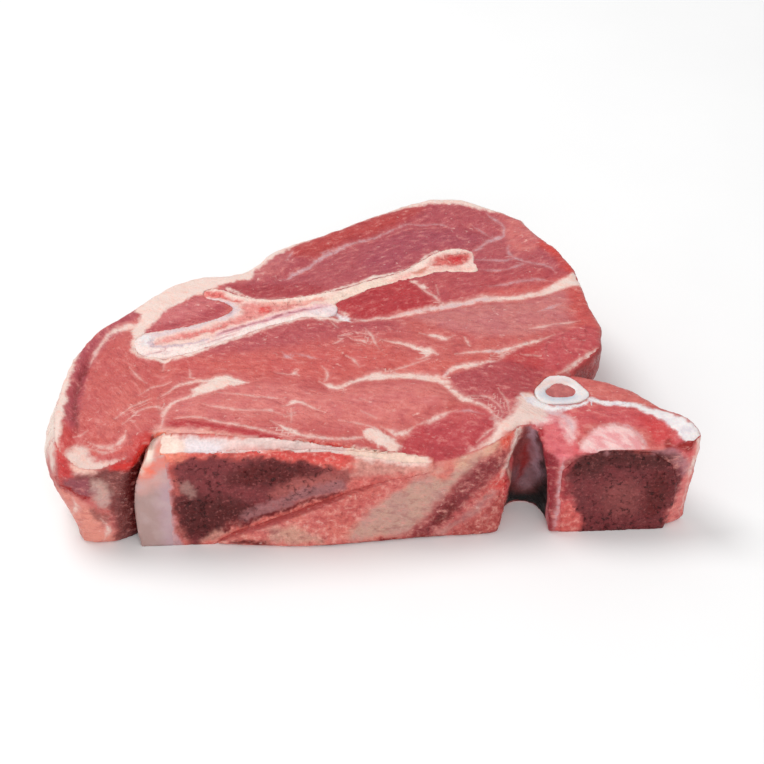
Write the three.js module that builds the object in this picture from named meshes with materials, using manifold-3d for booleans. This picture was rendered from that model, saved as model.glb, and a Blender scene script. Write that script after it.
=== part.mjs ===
// A thick bone-in slice of raw veal shoulder, lying on its lower cut face.
// Millimetres, +Z up. The camera side is -Y, where the backbone was sawn lengthwise.
// Origin: the middle of the footprint, on the surface that the slice lies on.
//
// Pieces: the meat with its fat, the blade bone, the halved spine of one vertebra
// with its cartilage tip, that vertebra's halved body, and a rib with its marrow.

import * as THREE from "three";
import { mergeVertices } from "three/addons/utils/BufferGeometryUtils.js";
import Module from "manifold-3d";

// ---------------------------------------------------------------- driving dimensions

const THICKNESS = 42; // lower cut face to upper cut face
const SAW_Y = -75.6; // the upper edge of the sawn face, where it crosses x = 0
const SAW_SLOPE = 0.05; // the sawn face turns back to the right by this much per mm
const SAW_LEAN = 3; // the sawn face comes forward by this much down to the base
const EDGE_ROUND = 2.2; // how far the upper edges of the meat are rounded
const BASE_ROUND = 1.2; // and the lower ones, under the weight of the meat
const FAT_BULGE = 2.6; // how far the fat side swells out at half height
const LOBE_BULGE = 5; // how much further it does so at the left lobe
const FIT = 0.3; // clearance of a bone in the meat
const PROUD = 0.35; // how far a bone stands above the meat that shrank back from it
const FLUSH = 0.2; // how far a sawn bone stands before the sawn meat

// Where the upper face sinks: how far, about which x and how far to each side of it,
// and from which y to which it grows.
const HOLLOW = { drop: 8, x: 18, spread: 28, from: -48, to: -75 };
const LOBE_END = { drop: 6.5, x: -99, spread: 12, from: -62, to: -81 };
// It sinks a little along the whole sawn face too.
const SAW_EDGE = { drop: 1.5, width: 9 };
// The backbone block lies lower than the slice, and its sawn face lower still, apart
// from its outer corner.
const BACKBONE_STEP = { drop: 3.2, left: 46, right: 62, from: -20, to: -34 };
const BACKBONE_FRONT = { drop: 2.6, from: -58, to: -72 };
const BACKBONE_CORNER = { rise: 3.5, left: 98, right: 112 };

// The left lobe's fat swells out most about this y, and the right side has no fat.
const LOBE_FAT = { y: -62, spread: 22, right: -104, left: -112 };
const RIGHT_SIDE = { bareTo: 5, fatFrom: 30 };

// Outline of the slice, counter-clockwise from the left lobe's front corner.
// Each row is x, y of the upper rim, and how far the base lies inside it.
const SLICE_RIM = [
  [-104, -80, -1], [-93, -81, -0.5], [-84, -80.2, -1], [-75, -79.3, -2.4],
  [-50, -78.1, -5], [-25, -76.8, -7.2], [0, -75.6, -5.8], [18, -74.7, -4.4],
  [32, -73, -5], [42, -70, -6.5], [49, -65.5, -4], [56, -54, 1],
  [62, -41, 3], [69, -33.5, 7], [76, -27.5, 9], [82, -21.5, 11],
  [84.2, -9, 10], [81, 6, 7], [79, 20, 4],
  [77, 31, 3], [72, 43, 3], [65, 54, 4], [58.5, 65, 4],
  [52, 70.5, 4], [44, 74.5, 4], [36, 80, 4], [28, 81.5, 4],
  [18, 79, 4], [6, 72.8, 4], [-22, 54.5, 4],
  [-34, 47.5, 4], [-43, 39.5, 4], [-48.5, 31, 4], [-56, 26.5, 4],
  [-67, 24.8, 5], [-78, 19.5, 6], [-95, 0.5, 8],
  [-103, -8.5, 9], [-108.5, -19, 9], [-112, -33, 10], [-113.5, -50, 11],
  [-113.3, -65, 11], [-110.5, -76, 7],
];
const SLICE_CENTRE = [-15, -14];

// Outline of the backbone block that hangs on at the right, in the same form.
const BACKBONE_RIM = [
  [52, -64, 0], [59, -71, -4.5], [67, -72.4, -3.6], [80, -71.8, -3],
  [95, -71, -2.6], [106, -70.4, -1], [112.6, -69.2, 3], [114, -66, 6],
  [109, -59.5, 6], [97, -46, 5], [90, -40, 5],
  [82, -36, 5], [72, -32.5, 3], [63, -31, 1], [54, -35, 0],
  [49, -44, 0], [47, -54, 0],
];
const BACKBONE_CENTRE = [78, -54];

// Plan outline of the blade bone: a long bar with a fork, its spine, at the left,
// and a knob at the right.
const BLADE_OUTLINE = [
  [-88.5, -18], [-85.5, -24.5], [-78, -25.5], [-69, -23.5], [-58, -17.5],
  [-47, -11], [-36, -5], [-26, -1], [-18, -0.5], [-15.5, 3],
  [-17, 7], [-11, 11.5], [-3, 17], [6, 21.5], [16, 25],
  [24, 28.5], [32, 28.5], [38.5, 29], [37, 35], [36.5, 41],
  [31, 43], [24.5, 40.5], [18, 34.5], [10, 27], [-1, 22],
  [-12, 16], [-24, 11.5], [-36, 8.8], [-47, 9], [-54, 11.5],
  [-60, 15], [-66, 14.2], [-64, 10.5], [-57, 8], [-53.5, 3],
  [-57, -2], [-66, -7], [-77, -11], [-86, -13.5],
];

// Pieces that the saw halved. Each has rows of x and how deep it goes in there behind
// the sawn face, and its front view in x and z.
// The spine of the vertebra is a long plate.
const SPINE = {
  depths: [[-73.5, 8.5], [-60, 7.4], [-40, 5.4], [-20, 4.4], [0, 3.6], [19, 2.6]],
  front: [
    [-72.6, -1], [-72, 14], [-72.6, 30], [-74, 60], [19, 60], [18.6, 28.5],
    [6, 26.5], [-10, 21], [-24, 15.5], [-40, 9], [-52, 4.5], [-60, -1],
  ],
};
// Its cartilage tip.
const CARTILAGE = {
  depths: [[-84, 4.7], [-78.5, 8.4], [-75.5, 10.5], [-72, 10.5]],
  front: [
    [-82, -1], [-83.4, 8], [-83.4, 20], [-81.8, 30], [-79.4, 37], [-76.4, 43], [-74.6, 60],
    [-74.4, 60], [-73.2, 30], [-72.6, 14], [-73.2, -1],
  ],
};
// The body of the vertebra.
const BODY = {
  depths: [[64, 16], [78, 15], [90, 11.5], [99, 7], [106, 2.5]],
  front: [
    [66.5, -1], [66, 14], [66.6, 26], [70.5, 30.6], [78, 32.4], [87, 33],
    [97, 31.6], [102.6, 27.4], [105, 20], [104.2, 9], [102, 1.5], [101, -1],
  ],
};

// The cleft between the lobe and the cartilage: z, and its left and right walls in x
// where it opens on the sawn face. It narrows to a blind end.
const CLEFT_WALLS = [
  [-2, -93, -82], [4, -92, -82.8], [12, -91, -83.3], [20, -90, -83.3],
  [28, -88, -82.3], [35, -85.5, -80.3], [41, -82.5, -77.5], [50, -79.5, -75],
];
const CLEFT_MOUTH_Y = -81;
const CLEFT_END = [-79.3, -68]; // x, y
const CLEFT_END_WIDTH = 0.8;

// The rib: a three-cornered tube round its marrow, both in plan.
const RIB_OUTLINE = [
  [59, -49.2], [66, -49.8], [73, -48.2], [76, -45], [73.8, -40.5],
  [70.5, -36], [66.5, -34.2], [62.5, -35], [59.5, -39], [57, -44.5],
];
const MARROW_OUTLINE = [
  [61.8, -46.2], [65.8, -46.8], [70.2, -46], [71.6, -43.2],
  [69, -39.8], [65.6, -38.4], [62.4, -40.4], [60.4, -43.6],
];

// The half of the spinal canal that the saw opened, between slice and backbone:
// z, the left and right of its mouth in x, and its depth behind the sawn face.
const CANAL_SECTIONS = [
  [-2, 42.6, 61.4, 14], [8, 45.2, 61.2, 14], [18, 47.2, 60.8, 14], [24, 45.6, 60.2, 13.5],
  [32, 47.2, 59, 12], [38, 49.2, 58, 10.5], [46, 50.6, 57.2, 10],
];

// Valleys between the muscles on the upper face.
const VALLEY_DEPTH = 1.3;
const VALLEY_SPREAD = 5;
const VALLEYS = [
  [[-48, 20], [-32, 27], [-18, 41], [0, 52], [14, 61], [28, 60], [46, 52]],
  [[-12, -2], [10, 0], [32, 7], [56, 12], [77, 25]],
  [[-18, -43], [-4, -38], [9, -36], [21, -38], [29, -48], [41, -56]],
  [[-79, -28], [-78, -50], [-76, -66]],
  [[-94, -9], [-103, -25], [-106, -46], [-104, -68]],
];

// Cuts and pockets run on past the meat: down, up, forwards and behind all sawn pieces.
const BELOW = -4;
const ABOVE = 60;
const BEFORE = -95;
const BEHIND = -50;
const POCKET_OPENS = 8; // how far before the sawn face a sawn piece's pocket starts

const COLOURS = {
  veal: 0xc0605a,
  bladeBone: 0xe6b7a6,
  sawnBone: 0x6d2e30,
  cartilage: 0xd9d0d2,
  rib: 0xe9e4e4,
  marrow: 0xb5605c,
};

// ---------------------------------------------------------------- small helpers

const { lerp, smoothstep } = THREE.MathUtils;
const bell = (t) => Math.exp(-t * t);
const sawPlane = (x) => SAW_Y + SAW_SLOPE * x;
const falling = (v, from, to) => 1 - smoothstep(v, to, from); // 0 at from, 1 at to, to < from

function distanceToLine(x, y, line) {
  let nearest = Infinity;
  for (let i = 0; i + 1 < line.length; i++) {
    const [ax, ay] = line[i];
    const [bx, by] = line[i + 1];
    const along = ((x - ax) * (bx - ax) + (y - ay) * (by - ay)) / ((bx - ax) ** 2 + (by - ay) ** 2);
    const t = Math.min(1, Math.max(0, along));
    nearest = Math.min(nearest, Math.hypot(x - lerp(ax, bx, t), y - lerp(ay, by, t)));
  }
  return nearest;
}

// Height of the upper cut face.
function topHeight(x, y) {
  const behindSaw = y - sawPlane(x);
  const dip = (d) => d.drop * bell((x - d.x) / d.spread) * falling(y, d.from, d.to);
  const sawEdge = SAW_EDGE.drop * falling(behindSaw, SAW_EDGE.width, 0);
  const { left, right, from, to } = BACKBONE_STEP;
  const onBackbone = smoothstep(x, left, right) * falling(y, from, to);
  const front = BACKBONE_FRONT.drop * falling(y, BACKBONE_FRONT.from, BACKBONE_FRONT.to);
  const corner = BACKBONE_CORNER.rise * smoothstep(x, BACKBONE_CORNER.left, BACKBONE_CORNER.right);
  const backbone = onBackbone * (BACKBONE_STEP.drop + front - corner);
  const valley = Math.max(...VALLEYS.map((line) => bell(distanceToLine(x, y, line) / VALLEY_SPREAD)));
  return THICKNESS - dip(HOLLOW) - dip(LOBE_END) - sawEdge - backbone - VALLEY_DEPTH * valley;
}

// A smooth closed curve through the rows, as evenly spaced points.
// A third number in a row is carried along in z.
function closedCurve(rows, count) {
  const points = rows.map(([x, y, third = 0]) => new THREE.Vector3(x, y, third));
  const curve = new THREE.CatmullRomCurve3(points, true, "centripetal");
  curve.arcLengthDivisions = 10 * count;
  return curve.getSpacedPoints(count).slice(0, count);
}

// Points of a closed loop moved outwards in the xy plane; amounts has one value or one for each point.
function moveOut(loop, amounts) {
  return loop.map((p, i) => {
    const before = loop.at(i - 1);
    const after = loop[(i + 1) % loop.length];
    const outward = new THREE.Vector3(after.y - before.y, before.x - after.x, 0).normalize();
    return p.clone().addScaledVector(outward, Array.isArray(amounts) ? amounts[i] : amounts);
  });
}

// A closed body from loops of equal count, counter-clockwise from above, lowest or innermost first.
// Round ends are closed by a fan about their middle, and others by triangles between their own points.
function bodyFromLoops(loops, roundEnds = false) {
  const count = loops[0].length;
  const index = [];
  for (let row = 0; row + 1 < loops.length; row++) {
    for (let i = 0; i < count; i++) {
      const a = row * count + i;
      const b = row * count + ((i + 1) % count);
      index.push(a, b, b + count, a, b + count, a + count);
    }
  }
  const last = (loops.length - 1) * count;
  const points = loops.flat();
  if (roundEnds) {
    for (const loop of [loops[0], loops.at(-1)]) {
      points.push(loop.reduce((sum, p) => sum.add(p), new THREE.Vector3()).divideScalar(count));
    }
    for (let i = 0; i < count; i++) {
      const next = (i + 1) % count;
      index.push(points.length - 2, next, i, points.length - 1, last + i, last + next);
    }
  } else {
    // The nudge keeps the points of a straight stretch from being left out.
    const nudge = (i) => 1e-4 * Math.sin(13 * i);
    const nudged = (loop) => loop.map((p, i) => new THREE.Vector2(p.x + nudge(i), p.y + nudge(i + 5)));
    const cap = (loop) => THREE.ShapeUtils.triangulateShape(nudged(loop), []);
    cap(loops[0]).forEach(([a, b, c]) => index.push(c, b, a));
    cap(loops.at(-1)).forEach(([a, b, c]) => index.push(last + a, last + b, last + c));
  }
  const geometry = new THREE.BufferGeometry();
  geometry.setAttribute("position", new THREE.Float32BufferAttribute(points.flatMap((p) => p.toArray()), 3));
  return geometry.setIndex(index);
}

// ---------------------------------------------------------------- joining and cutting

const wasm = await Module();
wasm.setup();

function toSolid(geometry) {
  const bare = new THREE.BufferGeometry();
  bare.setAttribute("position", geometry.getAttribute("position"));
  bare.setIndex(geometry.index);
  const merged = mergeVertices(bare, 1e-4);
  return new wasm.Manifold(
    new wasm.Mesh({
      numProp: 3,
      vertProperties: Float32Array.from(merged.attributes.position.array),
      triVerts: Uint32Array.from(merged.index.array),
    }),
  );
}

// A scrap that a cut leaves loose is dropped.
const largest = (solid) => solid.decompose().sort((a, b) => b.volume() - a.volume())[0];

function toMesh(name, solid, colour, roughness) {
  const { vertProperties, triVerts } = solid.getMesh();
  const geometry = new THREE.BufferGeometry();
  geometry.setAttribute("position", new THREE.BufferAttribute(vertProperties, 3));
  geometry.setIndex(new THREE.BufferAttribute(triVerts, 1));
  geometry.computeVertexNormals();
  const material = new THREE.MeshStandardMaterial({ color: colour, roughness, metalness: 0 });
  const mesh = new THREE.Mesh(geometry, material);
  mesh.name = name;
  return mesh;
}

// ---------------------------------------------------------------- forms

// How far the base's inset carries a side in, from 0 at the top to 1 at the base.
// A sawn face, with its base in front, is straight, and the other sides curve under.
const undercut = (inset, t) => (inset < 0 ? inset * t : inset * t * t * (1.6 - 0.6 * t));

// How far a side swells out at half height: the fat side does, and most of all the left lobe.
function swellAt({ x, y }) {
  const { y: middle, spread, right, left } = LOBE_FAT;
  const lobe = LOBE_BULGE * bell((y - middle) / spread) * falling(x, right, left);
  const fatSide = Math.max(smoothstep(y, RIGHT_SIDE.bareTo, RIGHT_SIDE.fatFrom), falling(x, 0, left));
  return FAT_BULGE * fatSide * smoothstep(y - sawPlane(x), 0, 25) + lobe;
}

// A slab of food: flat base, sides that swell and slope, and an upper face at topHeight.
function slab(rimRows, centre, count, ringShares) {
  const sideSteps = 6;
  const rim = closedCurve(rimRows, count);
  const baseInset = rim.map((p) => p.z);
  const swell = rim.map(swellAt);
  const flat = rim.map((p) => new THREE.Vector3(p.x, p.y, 0));
  const middle = new THREE.Vector3(centre[0], centre[1], 0);
  const ring = (loop, share, height) =>
    loop.map((p) => {
      const q = middle.clone().lerp(p, share);
      return q.setZ(height(q));
    });
  const onTop = (q) => topHeight(q.x, q.y);
  const side = (t) => {
    const out = rim.map((_, i) => swell[i] * Math.sin(Math.PI * t) - undercut(baseInset[i], t));
    return moveOut(flat, out).map((q, i) => q.setZ(lerp(onTop(rim[i]) - EDGE_ROUND, BASE_ROUND, t)));
  };
  const base = moveOut(flat, baseInset.map((inset) => -inset - BASE_ROUND * 0.8));
  const shoulder = moveOut(flat, -EDGE_ROUND);
  const halfway = moveOut(flat, -EDGE_ROUND * 0.3);
  const sides = Array.from({ length: sideSteps + 1 }, (_, i) => side(1 - i / sideSteps));
  return bodyFromLoops([
    ...[0.04, 0.6, 1].map((share) => ring(base, share, () => 0)),
    ...sides,
    ring(halfway, 1, (q) => onTop(q) - EDGE_ROUND * 0.3),
    ...ringShares.map((share) => ring(shoulder, share, onTop)),
  ], true);
}

// Copies of a plan loop from the base to just above the upper face; grown, the loops
// run past both faces. Forward is how far they come forward at each height.
function stacked(loop, grown, forward = () => 0) {
  const at = (p, z) => new THREE.Vector3(p.x, p.y - forward(z), z);
  if (grown) return [BELOW, ABOVE].map((z) => loop.map((p) => at(p, z)));
  const levels = [0, 14, 28].map((z) => loop.map((p) => at(p, z)));
  return [...levels, loop.map((p) => at(p, topHeight(p.x, p.y) + PROUD))];
}

// A bone that runs through the slice, from a plan outline. Grown, it is the pocket for itself.
function throughBone(outline, count, { grown = 0, roundEnds = false } = {}) {
  const loop = moveOut(closedCurve(outline, count), grown);
  return toSolid(bodyFromLoops(stacked(loop, grown), roundEnds));
}

// A body with a front view of x and z, that goes in along +Y through all the sawn pieces.
function frontViewBody(frontView, grown) {
  const shape = new THREE.Shape(frontView.map(([x, z]) => new THREE.Vector2(x, z)));
  const geometry = new THREE.ExtrudeGeometry(shape, { depth: BEHIND - BEFORE, bevelEnabled: false });
  geometry.rotateX(Math.PI / 2).translate(0, BEHIND, 0);
  const plain = toSolid(geometry);
  if (!grown) return plain;
  const ways = [[grown, 0], [-grown, 0], [0, grown], [0, -grown]];
  return ways.reduce((all, [dx, dz]) => all.add(plain.translate([dx, 0, dz])), plain);
}

// The plan loop of a piece behind the sawn face, from rows of x and depth.
function behindSawFace(rows, grown) {
  const steps = 24;
  const before = grown ? POCKET_OPENS : FLUSH;
  const depths = new THREE.SplineCurve(rows.map(([x, depth]) => new THREE.Vector2(x, depth)));
  const behind = (p) => new THREE.Vector3(p.x, sawPlane(p.x) + p.y + grown, 0);
  const back = depths.getSpacedPoints(steps).map(behind);
  const left = rows[0][0] - grown;
  const right = rows.at(-1)[0] + grown;
  const face = Array.from({ length: steps + 1 }, (_, i) => {
    const x = lerp(left, right, i / steps);
    return new THREE.Vector3(x, sawPlane(x) - before, 0);
  });
  return [...face, ...back.reverse()];
}

function sawnPiece({ depths, front }, grown = 0) {
  const leaning = (z) => SAW_LEAN * (1 - z / THICKNESS);
  const plan = toSolid(bodyFromLoops(stacked(behindSawFace(depths, grown), grown, leaning)));
  return plan.intersect(frontViewBody(front, grown));
}

// The cleft, as sections from its blind end to in front of the meat.
function cleft() {
  const steps = 6;
  const section = (t, y) => {
    const left = ([z, wall]) => [lerp(wall, CLEFT_END[0] - CLEFT_END_WIDTH / 2, 1 - (1 - t) ** 2), z];
    const right = ([z, , wall]) => [lerp(wall, CLEFT_END[0] + CLEFT_END_WIDTH / 2, t), z];
    const outline = [...CLEFT_WALLS.map(right), ...CLEFT_WALLS.map(left).reverse()];
    // Laid on its back, for the loops to be stacked upwards.
    return outline.map(([x, z]) => new THREE.Vector3(x, z, -y));
  };
  const inside = Array.from({ length: steps + 1 }, (_, i) => {
    const t = 1 - i / steps;
    return section(t, lerp(CLEFT_MOUTH_Y, CLEFT_END[1], t));
  });
  return toSolid(bodyFromLoops([...inside, section(0, BEFORE)]).rotateX(Math.PI / 2));
}

// The opened spinal canal: half ovals from the base to the top.
function canal() {
  const around = 14;
  const loops = CANAL_SECTIONS.map(([z, left, right, depth]) => {
    const middle = (left + right) / 2;
    const half = (right - left) / 2;
    const arc = Array.from({ length: around + 1 }, (_, i) => {
      const a = (Math.PI * i) / around;
      return new THREE.Vector3(middle + half * Math.cos(a), sawPlane(middle) + depth * Math.sin(a), z);
    });
    return [new THREE.Vector3(left, BEFORE, z), new THREE.Vector3(right, BEFORE, z), ...arc];
  });
  return toSolid(bodyFromLoops(loops));
}

// ---------------------------------------------------------------- the object

// Points around each outline, and rings of the upper faces as shares of the way out.
const SLICE_POINTS = 128;
const BACKBONE_POINTS = 56;
const BLADE_POINTS = 110;
const RIB_POINTS = 32;
const MARROW_POINTS = 24;
const SLICE_RINGS = [
  1, 0.965, 0.92, 0.865, 0.8, 0.73, 0.66, 0.59, 0.52, 0.45, 0.38, 0.31, 0.24, 0.17, 0.1, 0.04,
];
const BACKBONE_RINGS = [1, 0.86, 0.68, 0.48, 0.28, 0.1];
const slice = toSolid(slab(SLICE_RIM, SLICE_CENTRE, SLICE_POINTS, SLICE_RINGS));
const backbone = toSolid(slab(BACKBONE_RIM, BACKBONE_CENTRE, BACKBONE_POINTS, BACKBONE_RINGS));

const bladeBone = (grown) => throughBone(BLADE_OUTLINE, BLADE_POINTS, { grown });
const ribSide = (grown) => throughBone(RIB_OUTLINE, RIB_POINTS, { grown, roundEnds: true });
const ribMarrow = (grown) => throughBone(MARROW_OUTLINE, MARROW_POINTS, { grown, roundEnds: true });

const pockets = [
  canal(), cleft(), bladeBone(FIT), ribSide(FIT),
  sawnPiece(SPINE, FIT), sawnPiece(CARTILAGE, FIT), sawnPiece(BODY, FIT),
];
const veal = largest(pockets.reduce((meat, pocket) => meat.subtract(pocket), slice.add(backbone)));
const cartilage = largest(sawnPiece(CARTILAGE).subtract(sawnPiece(SPINE, FIT)).subtract(cleft()));

const shoulder = new THREE.Group();
shoulder.add(
  toMesh("veal", veal, COLOURS.veal, 0.45),
  toMesh("blade_bone", bladeBone(), COLOURS.bladeBone, 0.5),
  toMesh("spine_bone", sawnPiece(SPINE), COLOURS.sawnBone, 0.7),
  toMesh("cartilage_tip", cartilage, COLOURS.cartilage, 0.4),
  toMesh("vertebra_body", sawnPiece(BODY), COLOURS.sawnBone, 0.7),
  toMesh("rib_bone", ribSide().subtract(ribMarrow(FIT)), COLOURS.rib, 0.45),
  toMesh("rib_marrow", ribMarrow(), COLOURS.marrow, 0.5),
);

export default shoulder;
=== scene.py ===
"""The looks of a thick bone-in slice of raw veal shoulder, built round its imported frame.

Lengths in the painting and relief tables are millimetres in the frame's own x, y and z.
Strokes and outlines follow the seams, fat and bones of the slice's upper face in plan,
and those of its sawn front face in x and z.
"""

import math

import bpy
import numpy as np
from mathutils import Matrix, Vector, noise
from mathutils.bvhtree import BVHTree


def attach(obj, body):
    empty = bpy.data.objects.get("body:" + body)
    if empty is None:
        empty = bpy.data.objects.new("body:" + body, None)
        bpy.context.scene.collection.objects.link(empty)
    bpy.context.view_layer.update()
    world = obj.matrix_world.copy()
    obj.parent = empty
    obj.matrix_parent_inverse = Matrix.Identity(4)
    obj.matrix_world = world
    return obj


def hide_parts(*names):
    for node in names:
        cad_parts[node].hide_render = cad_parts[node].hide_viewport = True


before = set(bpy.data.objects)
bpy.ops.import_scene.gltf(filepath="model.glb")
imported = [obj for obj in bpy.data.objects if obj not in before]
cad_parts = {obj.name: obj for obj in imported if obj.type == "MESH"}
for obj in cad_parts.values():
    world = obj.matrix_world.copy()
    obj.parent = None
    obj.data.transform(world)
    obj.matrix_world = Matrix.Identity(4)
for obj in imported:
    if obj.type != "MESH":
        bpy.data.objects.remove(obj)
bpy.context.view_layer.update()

bl_info = {
    "name": "Raw veal shoulder slice",
    "version": (1, 0, 0),
    "blender": (4, 5, 0),
    "location": "View3D > Sidebar > Veal",
    "description": "Builds the meat, bones and stage of a raw veal shoulder slice",
    "category": "Object",
}

MM = 0.001
FAR = 9.0  # painted distances stop growing here, in mm
CURVE_STEP = 1.5  # mm between the points of a smooth curve
END_WIDTH = 0.35  # a stroke's ends are this share of its width
CAMERA_ANGLE = math.radians(38)  # how high above the horizon the photograph was taken

# Every colour below is the one seen under the stage's lamps, from 0 to 255. These turn it into
# a surface colour: the light on the upper and on the front faces, and a moist surface's sheen.
TOP_LIGHT, FRONT_LIGHT, SHEEN = 0.97, 0.8, 0.03
DARKEST, BRIGHTEST = 0.003, 0.98  # limits of a surface colour

# ---- strokes in plan
# Each row is x, y and half-width.

CREAM_STROKES = [
    # the two seams of the left half
    [(-47, -41.5, .8), (-52, -40, 1.2), (-56, -39, 1.5), (-61, -40.3, .9), (-66, -41, .8),
     (-70, -42.3, .7), (-74, -45, .5), (-77, -48, .3)],
    [(-55, -43.6, 1.2), (-60, -45.4, 1.3), (-65, -48.6, .9), (-70, -51, .7), (-73.6, -54, .9),
     (-75, -58, .7), (-74.8, -62, .5), (-75.4, -67, .3)],
    # single streaks round them
    [(-89, -33, .2), (-86, -38, .4), (-83.5, -40.5, .3)], [(-91, -61, .3), (-87, -56, .3), (-81, -50, .35)],
    [(-88, -64, .2), (-84, -58, .3), (-80, -54, .4), (-77.4, -53.6, .8), (-76, -55.6, .5)],
    [(-84, -48, .2), (-80, -43, .3), (-75, -41, .3)], [(-77.3, -27, .2), (-77.6, -32, .3)],
    [(-67.6, -34.6, .5), (-67.2, -37.4, .6)],
    [(-57, -47, .2), (-47, -48.4, .3), (-39, -50, .4), (-34, -51, .2)],
    [(-60, -54.4, .2), (-52, -56.5, .5), (-44, -57, .3), (-38, -57.2, .4), (-34, -59, .2)],
    [(-32, -54.2, .7), (-28.5, -52.6, 1.0), (-25, -54, .5), (-19, -57.6, .3)],
    [(-31, -60, 1.0), (-29.6, -59, .8)], [(-30, -57, .3), (-29.8, -62.6, .3)],
    [(-36, -35.2, .2), (-31.6, -36.6, .4), (-29.4, -35.6, 1.0), (-28.6, -36.6, .6)],
    [(-15, -17.4, .7), (-13.4, -16, .9)], [(-13, -13, .6), (-11.4, -12.8, .8)],
    [(-8, -15.4, .5), (-5, -16.4, 1.0), (-3.6, -18, .4)], [(-10, -26.4, .7), (-8, -28, .5), (-6.6, -31, .3)],
    [(-4, -9, .3), (-2, -13, .5), (-1, -17, .5), (.6, -20.6, .3)], [(-8, -11, .2), (-3, -12.6, .3)],
    [(-17, -4, .3), (-15, -7, .4)], [(-19, -33, .2), (-17.6, -36, .4), (-18, -40, .3)],
    [(-4.4, -57, .3), (-1, -58.6, .6)], [(-12, -61.6, .2), (-2, -63, .3)], [(-5, -51, .2), (-3, -52, .5)],
    # along the sawn edge
    [(-60, -62.2, .5), (-52, -64.4, .5), (-44, -66.6, .5), (-36, -69.4, .4), (-29, -71.4, .3)],
    [(-36, -64, .5), (-31, -67.4, .9), (-26.6, -69.6, .8), (-20, -70.6, .6), (-13, -70.2, .5),
     (-6, -68.4, .5), (-2, -67.5, .5)],
    [(-70, -61, .3), (-66, -60.6, .4), (-60, -61.6, .5)],
    [(3, -63.2, .4), (7, -64.6, .9), (10, -64.4, .8), (13, -62, .5)],
    # the wide seam of the middle
    [(-19.6, -40.6, .4), (-16, -42.6, 1.1), (-13.4, -43.4, 1.3), (-11, -41.4, 1.0),
     (-8, -39.6, 1.0), (-4, -37.4, 1.4), (0, -36.3, 1.8), (5, -36, 1.7), (12, -36, 1.6),
     (18, -37.2, 1.7), (23, -38.6, 1.5), (25.3, -41, 1.1), (27, -44, .9), (29, -47, 1.1),
     (31, -49.3, 1.4), (34, -50.6, .9), (37, -52, .6), (40, -54.5, .5), (42, -58, .5), (44, -60, .5)],
    [(-13.6, -44, .7), (-12, -46, .3)],
    [(24, -38, .8), (25.6, -35.4, .6), (28, -33, .9), (32, -32, 1.3), (36, -31, 1.1),
     (40, -29.4, .7), (44, -28.4, .4), (47, -26, .3)],
    [(18, -27.8, .3), (12, -30.4, .3), (8, -32.2, .3), (4, -33.8, .3)],
    # the blob above it
    [(3, -16, .5), (8, -17.4, .8), (12, -19, .8), (15, -20.8, 1.1), (18, -22.2, 1.6),
     (20.4, -23, 1.9), (21.4, -24, 1.2)],
    [(16.4, -27, .9), (18, -25.6, 1.4), (20, -24, 1.6)],
    [(17, -12, .3), (21.6, -13.4, .9), (25.4, -15.4, .9), (28, -14, .5)],
    [(33, -15.4, .7), (34, -18.6, .8)],
    # over the round muscle
    [(14.6, -60.8, .5), (18, -59.8, .6), (21.4, -58.4, .8), (24, -56.8, .6), (27.6, -55.6, .3)],
    [(36, -68, .3), (38.6, -65.6, .5), (41.6, -63.6, .4)],
    # the fork of the fat at the left end
    [(-88, -6.4, 1.4), (-93, -7, 1.8), (-97, -8.8, 1.2), (-99.6, -12.4, .7), (-101.8, -17.4, .6),
     (-103.3, -23, .6), (-104.4, -29, .4)],
    # the right seam and the short seam
    [(-9, -3, .3), (-5, -2.4, .6), (0, -1.2, .8), (6, .4, .8), (12, 2, 1.0), (18, 4, 1.1),
     (24, 6, 1.3), (30, 8, 1.4), (36, 10, 1.3), (42, 11.8, 1.4), (48, 11.8, 1.2), (54, 12.4, 1.2),
     (59, 14.2, 1.4), (64, 16, 1.6), (69, 18.6, 1.9), (74, 22, 2.2), (77, 25, 2.4)],
    [(30, -24.2, .4), (35, -23.3, .6), (40, -22.6, .8), (45, -22.4, 1.0), (50, -20.4, 1.0),
     (55, -18.2, .8), (60, -15.6, .7), (65, -13.2, .4)],
    # the edge line of the right slab
    [(84, -19.6, .8), (79.6, -23, .8), (75, -26.4, .8), (70.4, -29.8, .8), (66.6, -32, .5)],
    [(58, -8.4, .4), (62, -7.6, .6), (66, -6.4, .4)], [(66, -6, .3), (72, -4.8, .5), (75, -4, .3)],
    [(54, -24.2, .3), (59, -24.6, .4)], [(15, 21, .3), (19, 15, .4), (22, 12, .4), (25, 7.5, .4)],
    [(43, -26, .3), (46, -25.4, .5), (50, -23, .3)], [(23.4, 14.6, .3), (23, 18, .3)],
    # pale arcs of the dark muscle
    [(33.5, -48, .3), (39, -49, .3), (43, -52.6, .3), (44.6, -57, .3)],
    [(44, -46, .2), (46.4, -52, .3), (47, -58, .3)],
    # curl at the lobe's front
    [(-99, -71.6, .3), (-95, -73.4, .5), (-90.4, -73.4, .5), (-88.2, -71.4, .8), (-87.6, -69, .5)],
    [(-99, -73.8, .3), (-94, -75.2, .4), (-90, -75, .3)], [(-104.4, -68.6, .4), (-102, -67.2, .5)],
]

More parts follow.
